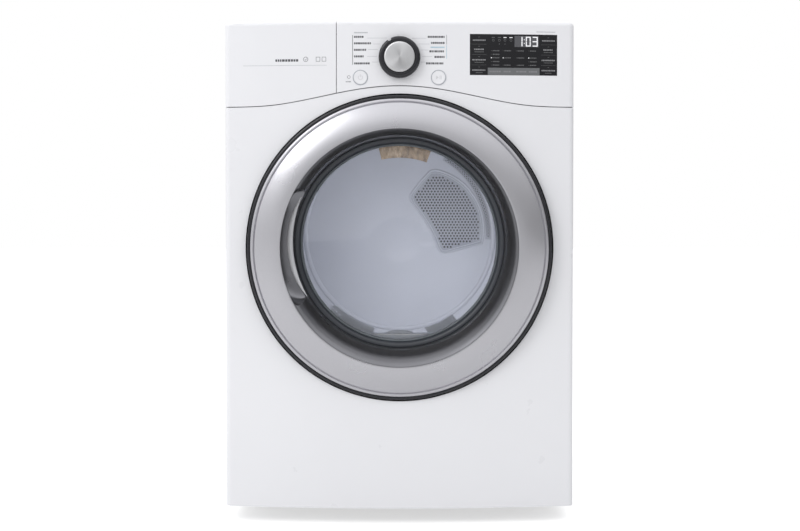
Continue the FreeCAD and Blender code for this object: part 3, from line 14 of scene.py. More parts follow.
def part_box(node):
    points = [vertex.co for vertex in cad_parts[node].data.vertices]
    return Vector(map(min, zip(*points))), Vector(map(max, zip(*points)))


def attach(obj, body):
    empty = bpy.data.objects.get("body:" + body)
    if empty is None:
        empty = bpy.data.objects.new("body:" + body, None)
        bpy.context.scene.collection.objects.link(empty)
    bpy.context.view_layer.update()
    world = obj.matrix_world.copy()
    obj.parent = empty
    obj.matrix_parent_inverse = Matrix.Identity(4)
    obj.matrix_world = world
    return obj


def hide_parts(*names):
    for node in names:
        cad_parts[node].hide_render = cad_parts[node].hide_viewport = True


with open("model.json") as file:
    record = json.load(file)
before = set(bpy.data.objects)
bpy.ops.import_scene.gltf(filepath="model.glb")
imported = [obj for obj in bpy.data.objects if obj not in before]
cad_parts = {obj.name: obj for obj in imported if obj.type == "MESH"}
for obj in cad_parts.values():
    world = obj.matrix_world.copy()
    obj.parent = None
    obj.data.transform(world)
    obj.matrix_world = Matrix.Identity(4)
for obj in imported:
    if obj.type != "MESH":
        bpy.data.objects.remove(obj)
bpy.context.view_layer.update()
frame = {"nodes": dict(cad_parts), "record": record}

MM = 0.001
FINE_STEPS = 288
COARSE_STEPS = 96
SMOOTH_ANGLE = math.radians(32)
INK_LIFT = 0.15
RAISED_INK_LIFT = 0.3
NOISE_RANGE = (0.3, 0.7)


def box_mm(node):
    """Lowest and highest corner of a CAD node, in millimetres."""
    low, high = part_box(node)
    return low / MM, high / MM


def centre_mm(node):
    """(x, z) of the middle of a CAD node."""
    low, high = box_mm(node)
    return (low.x + high.x) / 2, (low.z + high.z) / 2


PANEL_LOW, PANEL_HIGH = box_mm("front_panel")
FRONT_MID_Y = PANEL_LOW.y
FRONT_BOW = 22.0
BOW_REACH = PANEL_HIGH.x - 12.0
BOW_RADIUS = (BOW_REACH ** 2 + FRONT_BOW ** 2) / (2 * FRONT_BOW)
DOOR_CENTRE = centre_mm("door_trim_ring")
AXIS_CENTRE = centre_mm("window_ring")
KNOB_CENTRE = centre_mm("selector_cap")
REAR_WALL_Y = 300.0


def front_y(x):
    """The bowed front face at a distance x from the middle."""
    return FRONT_MID_Y + BOW_RADIUS - math.sqrt(BOW_RADIUS ** 2 - x ** 2)


# ---- materials ----

def new_material(name):
    """New material with its nodes, its links and its shader."""
    made = bpy.data.materials.new(name)
    made.use_nodes = True
    return made, made.node_tree.nodes, made.node_tree.links, made.node_tree.nodes["Principled BSDF"]


def object_place(nodes, links, stretch=(1, 1, 1)):
    """The frame's own coordinates, stretched along each axis."""
    place = nodes.new("ShaderNodeTexCoord")
    spread = nodes.new("ShaderNodeMapping")
    spread.inputs["Scale"].default_value = stretch
    links.new(place.outputs["Object"], spread.inputs["Vector"])
    return spread.outputs["Vector"]


def noise_field(nodes, links, scale, detail=3.0, stretch=(1, 1, 1)):
    """Noise over the frame's own coordinates; scale is in cells per metre."""
    field = nodes.new("ShaderNodeTexNoise")
    field.inputs["Scale"].default_value = scale
    field.inputs["Detail"].default_value = detail
    links.new(object_place(nodes, links, stretch), field.inputs["Vector"])
    return field.outputs["Fac"]


def map_range(nodes, links, value, source, target):
    """Value spread from the source range over the target range."""
    spread = nodes.new("ShaderNodeMapRange")
    spread.inputs["From Min"].default_value, spread.inputs["From Max"].default_value = source
    spread.inputs["To Min"].default_value, spread.inputs["To Max"].default_value = target
    links.new(value, spread.inputs["Value"])
    return spread.outputs["Result"]


def between(nodes, links, factor, low, high):
    """Noise spread from low to high over its usual range."""
    return map_range(nodes, links, factor, NOISE_RANGE, (low, high))


def tinted(nodes, links, factor, dark, light):
    """Colour that goes from dark to light with the factor."""
    mixer = nodes.new("ShaderNodeMix")
    mixer.data_type = "RGBA"
    mixer.inputs["A"].default_value = (*dark, 1)
    mixer.inputs["B"].default_value = (*light, 1)
    links.new(factor, mixer.inputs["Factor"])
    return mixer.outputs["Result"]


def bumped(nodes, links, shader, height, depth):
    """Surface relief of a real depth, in metres."""
    bump = nodes.new("ShaderNodeBump")
    bump.inputs["Distance"].default_value = depth
    links.new(height, bump.inputs["Height"])
    links.new(bump.outputs["Normal"], shader.inputs["Normal"])


def finish_material(name, colour, roughness, metallic=0.0, coat=0.0, mottle=(6.0, 0.02),
                    grain=(500.0, 0.02 * MM), smudge=0.05, stretch=(1, 1, 1)):
    """General finish: soft colour mottling, smudged gloss and a fine grain of real depth."""
    made, nodes, links, shader = new_material(name)
    shader.inputs["Metallic"].default_value = metallic
    shader.inputs["Coat Weight"].default_value = coat
    shader.inputs["Coat Roughness"].default_value = 0.08
    mottle_scale, mottle_amount = mottle
    dark = [c * (1 - mottle_amount) for c in colour]
    light = [min(1.0, c * (1 + mottle_amount)) for c in colour]
    broad = noise_field(nodes, links, mottle_scale, 4.0, stretch)
    links.new(tinted(nodes, links, between(nodes, links, broad, 0, 1), dark, light),
              shader.inputs["Base Color"])
    rub = noise_field(nodes, links, 14.0, 5.0, stretch)
    links.new(between(nodes, links, rub, roughness - smudge, roughness + smudge), shader.inputs["Roughness"])
    grain_scale, grain_depth = grain
    bumped(nodes, links, shader, noise_field(nodes, links, grain_scale, 2.0, stretch), grain_depth)
    return made


def zinc_material(name, colour):
    """Zinc-coated sheet: crystal spangle over a rolled grain."""
    made, nodes, links, shader = new_material(name)
    shader.inputs["Metallic"].default_value = 1.0
    cells = nodes.new("ShaderNodeTexVoronoi")
    cells.inputs["Scale"].default_value = 130.0
    links.new(object_place(nodes, links), cells.inputs["Vector"])
    split = nodes.new("ShaderNodeSeparateColor")
    links.new(cells.outputs["Color"], split.inputs["Color"])
    spangle = between(nodes, links, split.outputs["Red"], 0, 1)
    links.new(tinted(nodes, links, spangle, [c * 0.86 for c in colour], colour), shader.inputs["Base Color"])
    links.new(between(nodes, links, split.outputs["Green"], 0.34, 0.48), shader.inputs["Roughness"])
    bumped(nodes, links, shader, noise_field(nodes, links, 900.0, 2.0), 0.01 * MM)
    return made


def vector_math(nodes, links, operation, first, second=None):
    """Vector Math node on a linked vector and, where given, a constant one."""
    node = nodes.new("ShaderNodeVectorMath")
    node.operation = operation
    links.new(first, node.inputs[0])
    if second:
        node.inputs[1].default_value = second
    return node.outputs["Value" if operation == "LENGTH" else "Vector"]


def spun_metal(name, colour, centre):
    """Spun brushed metal: fine concentric scratches about a line along Y through centre (x, z)."""
    made, nodes, links, shader = new_material(name)
    shader.inputs["Metallic"].default_value = 1.0
    shader.inputs["Anisotropic"].default_value = 0.8
    from_axis = vector_math(nodes, links, "SUBTRACT", object_place(nodes, links),
                            (centre[0] * MM, 0, centre[1] * MM))
    outward = vector_math(nodes, links, "MULTIPLY", from_axis, (1, 0, 1))
    radius = vector_math(nodes, links, "LENGTH", outward)
    around = vector_math(nodes, links, "CROSS_PRODUCT", outward, (0, 1, 0))
    scratches = nodes.new("ShaderNodeTexNoise")
    scratches.noise_dimensions = "1D"
    scratches.inputs["Scale"].default_value = 2600.0
    scratches.inputs["Detail"].default_value = 4.0
    links.new(radius, scratches.inputs["W"])
    mix = between(nodes, links, scratches.outputs["Fac"], 0, 1)
    links.new(tinted(nodes, links, mix, [c * 0.92 for c in colour], colour), shader.inputs["Base Color"])
    links.new(between(nodes, links, scratches.outputs["Fac"], 0.30, 0.42), shader.inputs["Roughness"])
    bumped(nodes, links, shader, scratches.outputs["Fac"], 0.004 * MM)
    links.new(around, shader.inputs["Tangent"])
    return made


def window_material(name):
    """Tempered glass, clear and slightly cool, with a faint smear in its gloss."""
    made, nodes, links, shader = new_material(name)
    clear = nodes.new("ShaderNodeBsdfTransparent")
    clear.inputs["Color"].default_value = (0.965, 0.97, 0.98, 1)
    gloss = nodes.new("ShaderNodeBsdfGlossy")
    rub = noise_field(nodes, links, 9.0, 5.0)
    links.new(between(nodes, links, rub, 0.02, 0.09), gloss.inputs["Roughness"])
    facing = nodes.new("ShaderNodeFresnel")
    facing.inputs["IOR"].default_value = 1.5
    blend = nodes.new("ShaderNodeMixShader")
    links.new(facing.outputs["Fac"], blend.inputs["Fac"])
    links.new(clear.outputs["BSDF"], blend.inputs[1])
    links.new(gloss.outputs["BSDF"], blend.inputs[2])
    links.new(blend.outputs["Shader"], nodes["Material Output"].inputs["Surface"])
    nodes.remove(shader)
    return made


def felt_material(name, colour):
    """Fibrous felt: fine drawn-out fibres with a soft sheen."""
    made, nodes, links, shader = new_material(name)
    shader.inputs["Roughness"].default_value = 0.95
    shader.inputs["Sheen Weight"].default_value = 0.4
    fibres = noise_field(nodes, links, 1400.0, 6.0, (1, 0.3, 1))
    links.new(tinted(nodes, links, fibres, [c * 0.6 for c in colour], colour), shader.inputs["Base Color"])
    bumped(nodes, links, shader, fibres, 0.25 * MM)
    return made


def lamp_material(name):
    """Fluted amber lens with a little light behind it."""
    made, nodes, links, shader = new_material(name)
    shader.inputs["Coat Weight"].default_value = 0.6
    flutes = noise_field(nodes, links, 110.0, 3.0, (1, 1, 0.25))
    amber = tinted(nodes, links, between(nodes, links, flutes, 0, 1), (0.13, 0.085, 0.05), (0.42, 0.31, 0.20))
    links.new(amber, shader.inputs["Base Color"])
    links.new(amber, shader.inputs["Emission Color"])
    shader.inputs["Emission Strength"].default_value = 0.12
    links.new(between(nodes, links, flutes, 0.15, 0.3), shader.inputs["Roughness"])
    bumped(nodes, links, shader, flutes, 0.4 * MM)
    return made


def ink_material(name, colour, glow=0.0):
    """Printed ink or lit segments: matt, with the slight unevenness of screen printing."""
    made, nodes, links, shader = new_material(name)
    shader.inputs["Roughness"].default_value = 0.55
    shader.inputs["Emission Strength"].default_value = glow
    print_grain = between(nodes, links, noise_field(nodes, links, 1800.0, 2.0), 0, 1)
    ink = tinted(nodes, links, print_grain, [c * 0.9 for c in colour], colour)
    links.new(ink, shader.inputs["Base Color"])
    links.new(ink, shader.inputs["Emission Color"])
    return made


WHITE = (0.86, 0.86, 0.885)
MATERIALS = {
    "white_enamel": finish_material("enamel", WHITE, 0.30, coat=0.25, mottle=(3.0, 0.012),
                                    grain=(420.0, 0.012 * MM), smudge=0.03),
    "white_plastic": finish_material("fascia_plastic", WHITE, 0.34, coat=0.15, mottle=(4.0, 0.01),
                                     grain=(1500.0, 0.01 * MM), smudge=0.04),
    "black_plastic": finish_material("black_gloss", (0.012, 0.012, 0.016), 0.26, coat=0.1,
                                     mottle=(9.0, 0.1), grain=(1200.0, 0.002 * MM), smudge=0.03),
    "charcoal_plastic": finish_material("funnel_gloss", (0.21, 0.21, 0.225), 0.30, metallic=0.95,
                                        mottle=(9.0, 0.05), grain=(1200.0, 0.002 * MM), smudge=0.03),
    "silver_paint": finish_material("silver_paint", (0.56, 0.555, 0.585), 0.30, metallic=0.9, coat=0.05,
                                    mottle=(2200.0, 0.08), grain=(2600.0, 0.006 * MM), smudge=0.03),
    "brushed_cap": spun_metal("brushed_cap", (0.66, 0.66, 0.67), KNOB_CENTRE),
    "display_glass": finish_material("display_black", (0.004, 0.004, 0.006), 0.12, coat=0.3,
                                     mottle=(7.0, 0.2), grain=(900.0, 0.003 * MM), smudge=0.03),
    "circuit_board": finish_material("board", (0.02, 0.16, 0.06), 0.45, mottle=(60.0, 0.25),
                                     grain=(800.0, 0.05 * MM)),
    "zinc_steel": zinc_material("zinc_sheet", (0.72, 0.73, 0.75)),
    "drum_steel": finish_material("drum_coat", (0.46, 0.475, 0.53), 0.36, metallic=0.1, coat=0.2,
                                  mottle=(5.0, 0.05), grain=(800.0, 0.02 * MM)),
    "grey_plastic": finish_material("moulded_grey", (0.52, 0.54, 0.58), 0.5, mottle=(12.0, 0.04),
                                    grain=(1300.0, 0.05 * MM)),
    "pale_grip": finish_material("pale_grip", (0.60, 0.60, 0.62), 0.38, mottle=(20.0, 0.05),
                                 grain=(1500.0, 0.03 * MM)),
    "dark_plastic": finish_material("dark_moulded", (0.05, 0.05, 0.055), 0.5, mottle=(15.0, 0.15),
                                    grain=(1300.0, 0.05 * MM)),
    "clear_glass": window_material("window_glass"),
    "seal_rubber": finish_material("rubber", (0.05, 0.05, 0.052), 0.72, mottle=(40.0, 0.2),
                                   grain=(900.0, 0.08 * MM)),
    "felt": felt_material("felt", (0.62, 0.58, 0.50)),
    "lamp_amber": lamp_material("amber_lens"),
    "bright_steel": finish_material("machined_steel", (0.62, 0.62, 0.63), 0.30, metallic=1.0,
                                    mottle=(60.0, 0.08), grain=(1500.0, 0.01 * MM), stretch=(1, 8, 1)),
    "motor_paint": finish_material("motor_enamel", (0.05, 0.05, 0.055), 0.42, mottle=(30.0, 0.2),
                                   grain=(500.0, 0.06 * MM)),
    "element_steel": finish_material("heat_tinted_steel", (0.30, 0.24, 0.20), 0.45, metallic=1.0,
                                     mottle=(45.0, 0.3), grain=(900.0, 0.03 * MM)),
    "foot_rubber": finish_material("foot_rubber", (0.03, 0.03, 0.03), 0.65, mottle=(50.0, 0.25),
                                   grain=(900.0, 0.08 * MM)),
}
RIM = finish_material("window_rim", (0.045, 0.05, 0.06), 0.34, mottle=(20.0, 0.08),
                      grain=(1200.0, 0.003 * MM))
GRILLE = finish_material("inlet_plate", (0.33, 0.345, 0.39), 0.42, metallic=0.2, mottle=(12.0, 0.04),
                         grain=(900.0, 0.01 * MM))
GASKET = finish_material("gasket", (0.13, 0.145, 0.16), 0.45, mottle=(40.0, 0.15), grain=(900.0, 0.05 * MM))
INKS = {
    "dark_ink": ink_material("dark_ink", (0.10, 0.10, 0.11)),
    "grey_ink": ink_material("grey_ink", (0.34, 0.34, 0.36)),
    "pale_ink": ink_material("pale_ink", (0.52, 0.53, 0.56)),
    "blue_ink": ink_material("blue_ink", (0.42, 0.62, 0.72)),
    "moulded_mark": ink_material("moulded_mark", (0.72, 0.72, 0.74)),
    "dim_label": ink_material("dim_label", (0.13, 0.13, 0.135)),
    "label": ink_material("label", (0.26, 0.26, 0.27)),
    "strip_grey": ink_material("strip_grey", (0.155, 0.16, 0.165)),
    "lcd_grey": ink_material("lcd_grey", (0.10, 0.10, 0.11)),
    "lit_segment": ink_material("lit_segment", (0.80, 0.80, 0.82), 0.4),
}


def dress_nodes():
    """Every carried-over CAD node gets the material of its slot."""
    for entry in frame["record"]["subparts"]:
        node = frame["nodes"][entry["node"]]
        node.data.materials.clear()
        node.data.materials.append(MATERIALS[entry["material_slot"]])


# ---- mesh helpers ----

def new_piece(name, vertices, faces, body, slot, material=None, flat=False):
    """Mesh object from millimetre points that rides on a body and takes a slot's finish."""
    mesh = bpy.data.meshes.new(name)
    mesh.from_pydata([(x * MM, y * MM, z * MM) for x, y, z in vertices], [], faces)
    mesh.validate()
    if flat:
        mesh.shade_flat()
    else:
        shell = bmesh.new()
        shell.from_mesh(mesh)
        bmesh.ops.recalc_face_normals(shell, faces=shell.faces)
        shell.to_mesh(mesh)
        shell.free()
        mesh.shade_smooth()
        mesh.set_sharp_from_angle(angle=SMOOTH_ANGLE)
    piece = bpy.data.objects.new(name, mesh)
    bpy.context.scene.collection.objects.link(piece)
    mesh.materials.append(material or MATERIALS[slot])
    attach(piece, body)
    return piece


def grid_faces(rows, columns, wrap_rows=False, wrap_columns=False):
    """Quads over a grid of points laid out row by row."""
    faces = []
    for row in range(rows if wrap_rows else rows - 1):
        for column in range(columns if wrap_columns else columns - 1):
            next_row = (row + 1) % rows
            next_column = (column + 1) % columns
            faces.append((row * columns + column, row * columns + next_column,
                          next_row * columns + next_column, next_row * columns + column))
    return faces


def curved_sheet(name, rows, columns, place, body, slot):
    """Open sheet of points place(along, across), where both run from 0 to 1."""
    vertices = [place(row / (rows - 1), column / (columns - 1))
                for row in range(rows) for column in range(columns)]
    return new_piece(name, vertices, grid_faces(rows, columns), body, slot)


def smooth_path(keys, substeps):
    """Catmull-Rom curve through the keys."""
    points = []
    last = len(keys) - 1
    for index in range(last):
        before = keys[max(index - 1, 0)]
        start, end = keys[index], keys[index + 1]
        after = keys[min(index + 2, last)]
        for step in range(substeps):
            t = step / substeps
            points.append(tuple(
                0.5 * (2 * b + (c - a) * t + (2 * a - 5 * b + 4 * c - d) * t ** 2
                       + (3 * b - a - 3 * c + d) * t ** 3)
                for a, b, c, d in zip(before, start, end, after)))
    points.append(keys[-1])
    return points


def polar(radius, degrees, centre):
    """(x, z) at a radius and an angle about a centre."""
    turn = math.radians(degrees)
    return centre[0] + radius * math.cos(turn), centre[1] + radius * math.sin(turn)


def arc_points(radius, start, end, centre, steps):
    """Points of (x, z) along an arc from start to end degrees, both ends included."""
    return [polar(radius, start + (end - start) * step / steps, centre) for step in range(steps + 1)]


def lathe(name, profile, centre, body, slot, steps=FINE_STEPS, closed=True, material=None, reshape=None):
    """Ring turned about a line along Y from (radius, y) points; reshape(degrees, radius) may change it."""
    vertices = []
    for step in range(steps):
        degrees = 360 * step / steps
        for radius, y in profile:
            reached = reshape(degrees, radius) if reshape else radius
            x, z = polar(reached, degrees, centre)
            vertices.append((x, y, z))
    faces = grid_faces(steps, len(profile), wrap_rows=True, wrap_columns=closed)
    return new_piece(name, vertices, faces, body, slot, material)


def flat_triangles(loops):
    """Points and triangles of the flat area that the loops of (x, z) cut up."""
    points, edges = [], []
    for loop in loops:
        first = len(points)
        points += [Vector(p) for p in loop]
        edges += [(first + i, first + (i + 1) % len(loop)) for i in range(len(loop))]
    flat, _, triangles, _, _, _ = delaunay_2d_cdt(points, edges, [], 1, 1e-5)
    middles = [(sum(flat[i].x for i in t) / 3, sum(flat[i].y for i in t) / 3) for t in triangles]
    return flat, triangles, middles


def plate_with_holes(name, outline, holes, y_front, y_back, body, slot, sides=12, material=None):
    """Flat plate with round holes, from an outline of (x, z) and holes of (x, z, radius)."""
    rings = [[polar(radius, 360 * side / sides, (x, z)) for side in range(sides)] for x, z, radius in holes]
    flat, triangles, middles = flat_triangles([outline, *rings])
    cell = 2 * max(radius for _, _, radius in holes)
    spots = {}
    for x, z, radius in holes:
        spots.setdefault((round(x / cell), round(z / cell)), []).append((x, z, radius))

    def in_hole(x, z):
        column, row = round(x / cell), round(z / cell)
        near = [spot for i in (-1, 0, 1) for j in (-1, 0, 1) for spot in spots.get((column + i, row + j), [])]
        return any(math.hypot(x - spot_x, z - spot_z) < radius * 0.98 for spot_x, spot_z, radius in near)

    kept = [tuple(t) for t, middle in zip(triangles, middles) if not in_hole(*middle)]
    count = len(flat)
    vertices = [(p.x, y_front, p.y) for p in flat] + [(p.x, y_back, p.y) for p in flat]
    faces = kept + [tuple(i + count for i in reversed(t)) for t in kept]
    sides_used = {edge for a, b, c in kept for edge in ((a, b), (b, c), (c, a))}
    faces += [(b, a, a + count, b + count) for a, b in sides_used if (b, a) not in sides_used]
    return new_piece(name, vertices, faces, body, slot, material)


def bead(name, path, y, radius, body, slot, closed=True, sides=10, flatten=0.7):
    """Round bead on a flat wall along (x, z) points; flatten squeezes it along Y."""
    count = len(path)
    vertices = []
    for index, (x, z) in enumerate(path):
        before = path[index - 1] if closed or index else path[index]
        after = path[(index + 1) % count] if closed or index < count - 1 else path[index]
        along = Vector(after) - Vector(before)
        along.normalize()
        for step in range(sides):
            turn = 2 * math.pi * step / sides
            across = math.cos(turn) * radius
            lift = math.sin(turn) * radius * flatten
            vertices.append((x + along.y * across, y + lift, z - along.x * across))
    faces = grid_faces(count, sides, wrap_rows=closed, wrap_columns=True)
    return new_piece(name, vertices, faces, body, slot)


class Marks:
    """Thin printed shapes laid on the bowed front, gathered into one mesh."""

    def __init__(self, lift=INK_LIFT):
        self.lift = lift
        self.vertices = []
        self.faces = []

    def polygon(self, points):
        """Flat shape through points of (x, z)."""
        first = len(self.vertices)
        self.vertices += [(x, front_y(x) - self.lift, z) for x, z in points]
        self.faces.append(tuple(range(first, first + len(points))))

    def bar(self, x0, x1, z0, z1):
        """Upright rectangle, cut into short lengths so that it follows the bow."""
        count = max(1, math.ceil((x1 - x0) / 12))
        for index in range(count):
            left = x0 + (x1 - x0) * index / count
            right = x0 + (x1 - x0) * (index + 1) / count
            self.polygon([(left, z0), (right, z0), (right, z1), (left, z1)])

    def outlined_box(self, x0, x1, z0, z1, stroke):
        self.bar(x0, x1, z0, z0 + stroke)
        self.bar(x0, x1, z1 - stroke, z1)
        self.bar(x0, x0 + stroke, z0, z1)
        self.bar(x1 - stroke, x1, z0, z1)

    def disc(self, x, z, radius, sides=20):
        self.polygon([polar(radius, 360 * side / sides, (x, z)) for side in range(sides)])

    def ring(self, x, z, outer, inner, start=0, end=360, steps=32):
        for index in range(steps):
            a = start + (end - start) * index / steps
            b = start + (end - start) * (index + 1) / steps
            self.polygon([polar(inner, a, (x, z)), polar(outer, a, (x, z)),
                          polar(outer, b, (x, z)), polar(inner, b, (x, z))])

    def words(self, x0, x1, z, height, seed, dash=(1.6, 4.2), gap=0.9):
        """Row of plain dashes of uneven length that stands for a printed label."""
        picker = random.Random(seed)
        x = x0
        while x < x1 - dash[0]:
            end = min(x + picker.uniform(*dash), x1)
            self.bar(x, end, z - height / 2, z + height / 2)
            x = end + gap

    def piece(self, name, body, slot, ink):
        new_piece(name, self.vertices, self.faces, body, slot, INKS[ink], flat=True)


# ---- door ----

CREST_RADIUS = 234
DISH_WIDTH = 48
DISH_DEPTH = 12.6


def door_ring():
    """Silver dish with a thin groove inside its outer edge and a rounded crest."""
    outer = [(290.6, -364.2), (290.9, -366.0), (290.2, -367.3), (288.8, -368.1), (287.0, -368.5)]
    groove = [(285.6, -368.7), (285.2, -367.4), (284.0, -366.6), (282.8, -367.4), (282.2, -369.5)]
    dish = [(radius, -369.6 - DISH_DEPTH * (1 - ((radius - CREST_RADIUS) / DISH_WIDTH) ** 1.7))
            for radius in range(280, CREST_RADIUS, -4)]
    crest = [(232.6, -382.45), (231.6, -382.2), (231.1, -381.4), (231.6, -380.4)]
    back = [(234, -379.4), (262, -374.4), (285.5, -364.6), (286, -364.1)]
    ring = lathe("door_ring", outer + groove + dish + crest + back, DOOR_CENTRE, "door", "silver_paint")
    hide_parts("door_trim_ring")


def door_rim():
    """Rounded black bead round the silver ring, and a black liner on the recess wall that stands for the
    shadow in the gap round the door: painted shade.

    The liner is a full circle, so the open door's edge still cuts it at the hinge side.
    """
    profile = [(291.2, -363.9), (291.2, -365.0), (292.0, -366.0), (293.6, -366.5), (295.4, -366.2),
               (296.8, -365.2), (297.3, -363.9)]
    lathe("door_rim", profile, DOOR_CENTRE, "door", "black_plastic")
    # Black sheet on the recess wall: painted shade that darkens the gap between door and cabinet.
    shade_liner = [(299.0, -358.0), (299.4, -359.2), (300.3, -359.6), (300.4, -358.0), (300.4, -339.0),
             (299.0, -339.0)]
    lathe("door_gap_painted_shade", shade_liner, DOOR_CENTRE, "cabinet", "black_plastic")


FUNNEL_KEYS = [(230.9, -380.2), (226.0, -375.5), (222.0, -370.5), (218.4, -365.5), (215.2, -360.0),
               (212.4, -352.5), (210.4, -345.5), (209.6, -339.0), (208.4, -312.0)]
POCKET_KEYS = [(230.9, -380.2), (235.5, -378.4), (248.0, -373.4), (258.0, -365.0), (257.0, -354.0),
               (244.0, -347.2), (215.0, -345.6), (210.4, -341.5), (208.4, -312.0)]
POCKET_HALF_ANGLE = 30.0


def pocket_weight(degrees):
    """1 in the middle of the finger pocket, falling smoothly to 0 at its tips."""
    reach = abs(degrees - 180) / POCKET_HALF_ANGLE
    return min(1.0, 2.2 * max(0.0, 1 - reach)) ** 0.6


def door_funnel():
    """Dark funnel with the finger pocket scooped out behind the silver ring's left side."""
    plain = smooth_path(FUNNEL_KEYS, 5)
    scooped = smooth_path(POCKET_KEYS, 5)
    rise = AXIS_CENTRE[1] - DOOR_CENTRE[1]
    steps = 2 * FINE_STEPS
    vertices = []
    for step in range(steps):
        degrees = 360 * step / steps
        weight = pocket_weight(degrees)
        for (r0, y0), (r1, y1) in zip(plain, scooped):
            y = y0 + (y1 - y0) * weight
            deep = min(1.0, max(0.0, (y + 380) / 40))
            x, z = polar(r0 + (r1 - r0) * weight, degrees, (0.0, DOOR_CENTRE[1] + rise * deep))
            vertices.append((x, y, z))
    faces = grid_faces(steps, len(plain), wrap_rows=True)
    funnel = new_piece("door_funnel_skin", vertices, faces, "door", "charcoal_plastic")
    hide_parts("door_funnel")


GRIP_RADIUS = 214.8
GRIP_HALF_WIDTH = 5.6
GRIP_HALF_ANGLE = 28.2
GRIP_BACK_Y = -345.4
GRIP_RISE = 3.4


def pocket_grip():
    """Pale domed crescent on the floor of the pocket."""
    def grip_point(along, across):
        share = 2 * along - 1
        half_width = GRIP_HALF_WIDTH * (1 - abs(share) ** 2.4) + 0.15
        middle = GRIP_RADIUS + 5.75 * share - 4.05 * share ** 2
        turn = math.pi * across
        x, z = polar(middle + half_width * math.cos(turn), 180 - GRIP_HALF_ANGLE * share, DOOR_CENTRE)
        return x, GRIP_BACK_Y - GRIP_RISE * math.sin(turn) * (1 - share ** 4), z

    grip = curved_sheet("pocket_grip", 61, 13, grip_point, "door", "pale_grip")
    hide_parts("door_handle_grip")


def window_rim():
    """Black ring round the glass, and the grey gasket line inside it."""
    rim = smooth_path([(209.0, -309.5), (208.6, -311.0), (206.8, -311.8), (203.0, -311.2), (199.4, -308.6),
                       (197.2, -304.0)], 4) + [(197.0, -294.2), (208.8, -294.2)]
    ring = lathe("window_rim", rim, AXIS_CENTRE, "door", "black_plastic", material=RIM)
    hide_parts("window_ring")
    gasket = smooth_path([(197.6, -303.6), (196.4, -305.0), (194.6, -304.4), (193.4, -301.0)], 4)
    gasket += [(193.2, -294.3), (197.6, -294.3)]
    lathe("window_gasket", gasket, AXIS_CENTRE, "door", "seal_rubber", material=GASKET)


# ---- controls ----

KNOB_BACK_Y = -361.6
CAP_GAP_RADIUS = 29.9
NOTCH_ANGLE = 120.0
NOTCH_HALF_ANGLE = 5.5
NOTCH_DEPTH = 4.5
NOTCH_REACH = 33.0


def selector():
    """Black ring with a pointer notch in its edge, and a softly domed brushed cap."""
    ring_low, ring_high = box_mm("selector_ring")
    radius, front = (ring_high.x - ring_low.x) / 2, ring_low.y
    cap_front = box_mm("selector_cap")[0].y

    def notched(degrees, reach):
        away = abs(degrees - NOTCH_ANGLE) / NOTCH_HALF_ANGLE
        return min(reach, radius - NOTCH_DEPTH * max(0.0, 1 - away ** 4)) if reach > NOTCH_REACH else reach

    profile = [(CAP_GAP_RADIUS, front + 3), (CAP_GAP_RADIUS, front + 1.4), (30.6, front + 0.5), (32.0, front),
               (36.5, front + 0.3), (radius - 1.6, front + 1.3), (radius - 0.3, front + 3.1),
               (radius, front + 5.5), (radius, KNOB_BACK_Y), (CAP_GAP_RADIUS, KNOB_BACK_Y)]
    ring = lathe("selector_grip_ring", profile, KNOB_CENTRE, "selector", "black_plastic", steps=720,
                 reshape=notched)
    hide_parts("selector_ring")
    dome = [(0.01 + reach, cap_front + 0.05 + 1.7 * (reach / 27) ** 2) for reach in range(0, 28, 3)]
    edge = [(28.2, cap_front + 2.0), (29.0, cap_front + 2.4), (29.5, cap_front + 3.0), (29.5, front + 3),
            (0.01, front + 3)]
    cap = lathe("selector_cap_disc", dome + edge, KNOB_CENTRE, "selector", "brushed_cap")
    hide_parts("selector_cap")


def button(node, body):
    """Softly dished cap in a grey bezel, with a generic moulded mark."""
    centre = centre_mm(node)
    x, z = centre
    face = front_y(x)
    profile = [(0.01, face - 1.0), (6.0, face - 1.05), (10.5, face - 1.5), (12.4, face - 1.7),
               (13.1, face - 1.2), (13.3, face - 0.2), (13.3, face + 6.0), (0.01, face + 6.0)]
    cap = lathe(node + "_cap", profile, centre, body, "white_plastic", steps=COARSE_STEPS)
    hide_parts(node)
    bezel = [(13.5, face + 1.0), (13.5, face - 0.5), (13.9, face - 0.9), (14.5, face - 0.9),
             (15.0, face - 0.4), (15.0, face + 1.0)]
    lathe(node + "_bezel", bezel, centre, "cabinet", "grey_plastic", steps=COARSE_STEPS)
    marks = Marks(lift=1.3)
    if x < 0:
        marks.ring(x, z, 4.6, 3.6, 120, 420)
        marks.bar(x - 0.6, x + 0.6, z + 1.0, z + 6.0)
    else:
        marks.polygon([(x - 4.6, z - 3.6), (x + 0.4, z), (x - 4.6, z + 3.6)])
        for shift in (2.2, 4.6):
            marks.bar(x + shift, x + shift + 1.2, z - 3.6, z + 3.6)
    marks.piece(node + "_mark", body, "white_plastic", "moulded_mark")


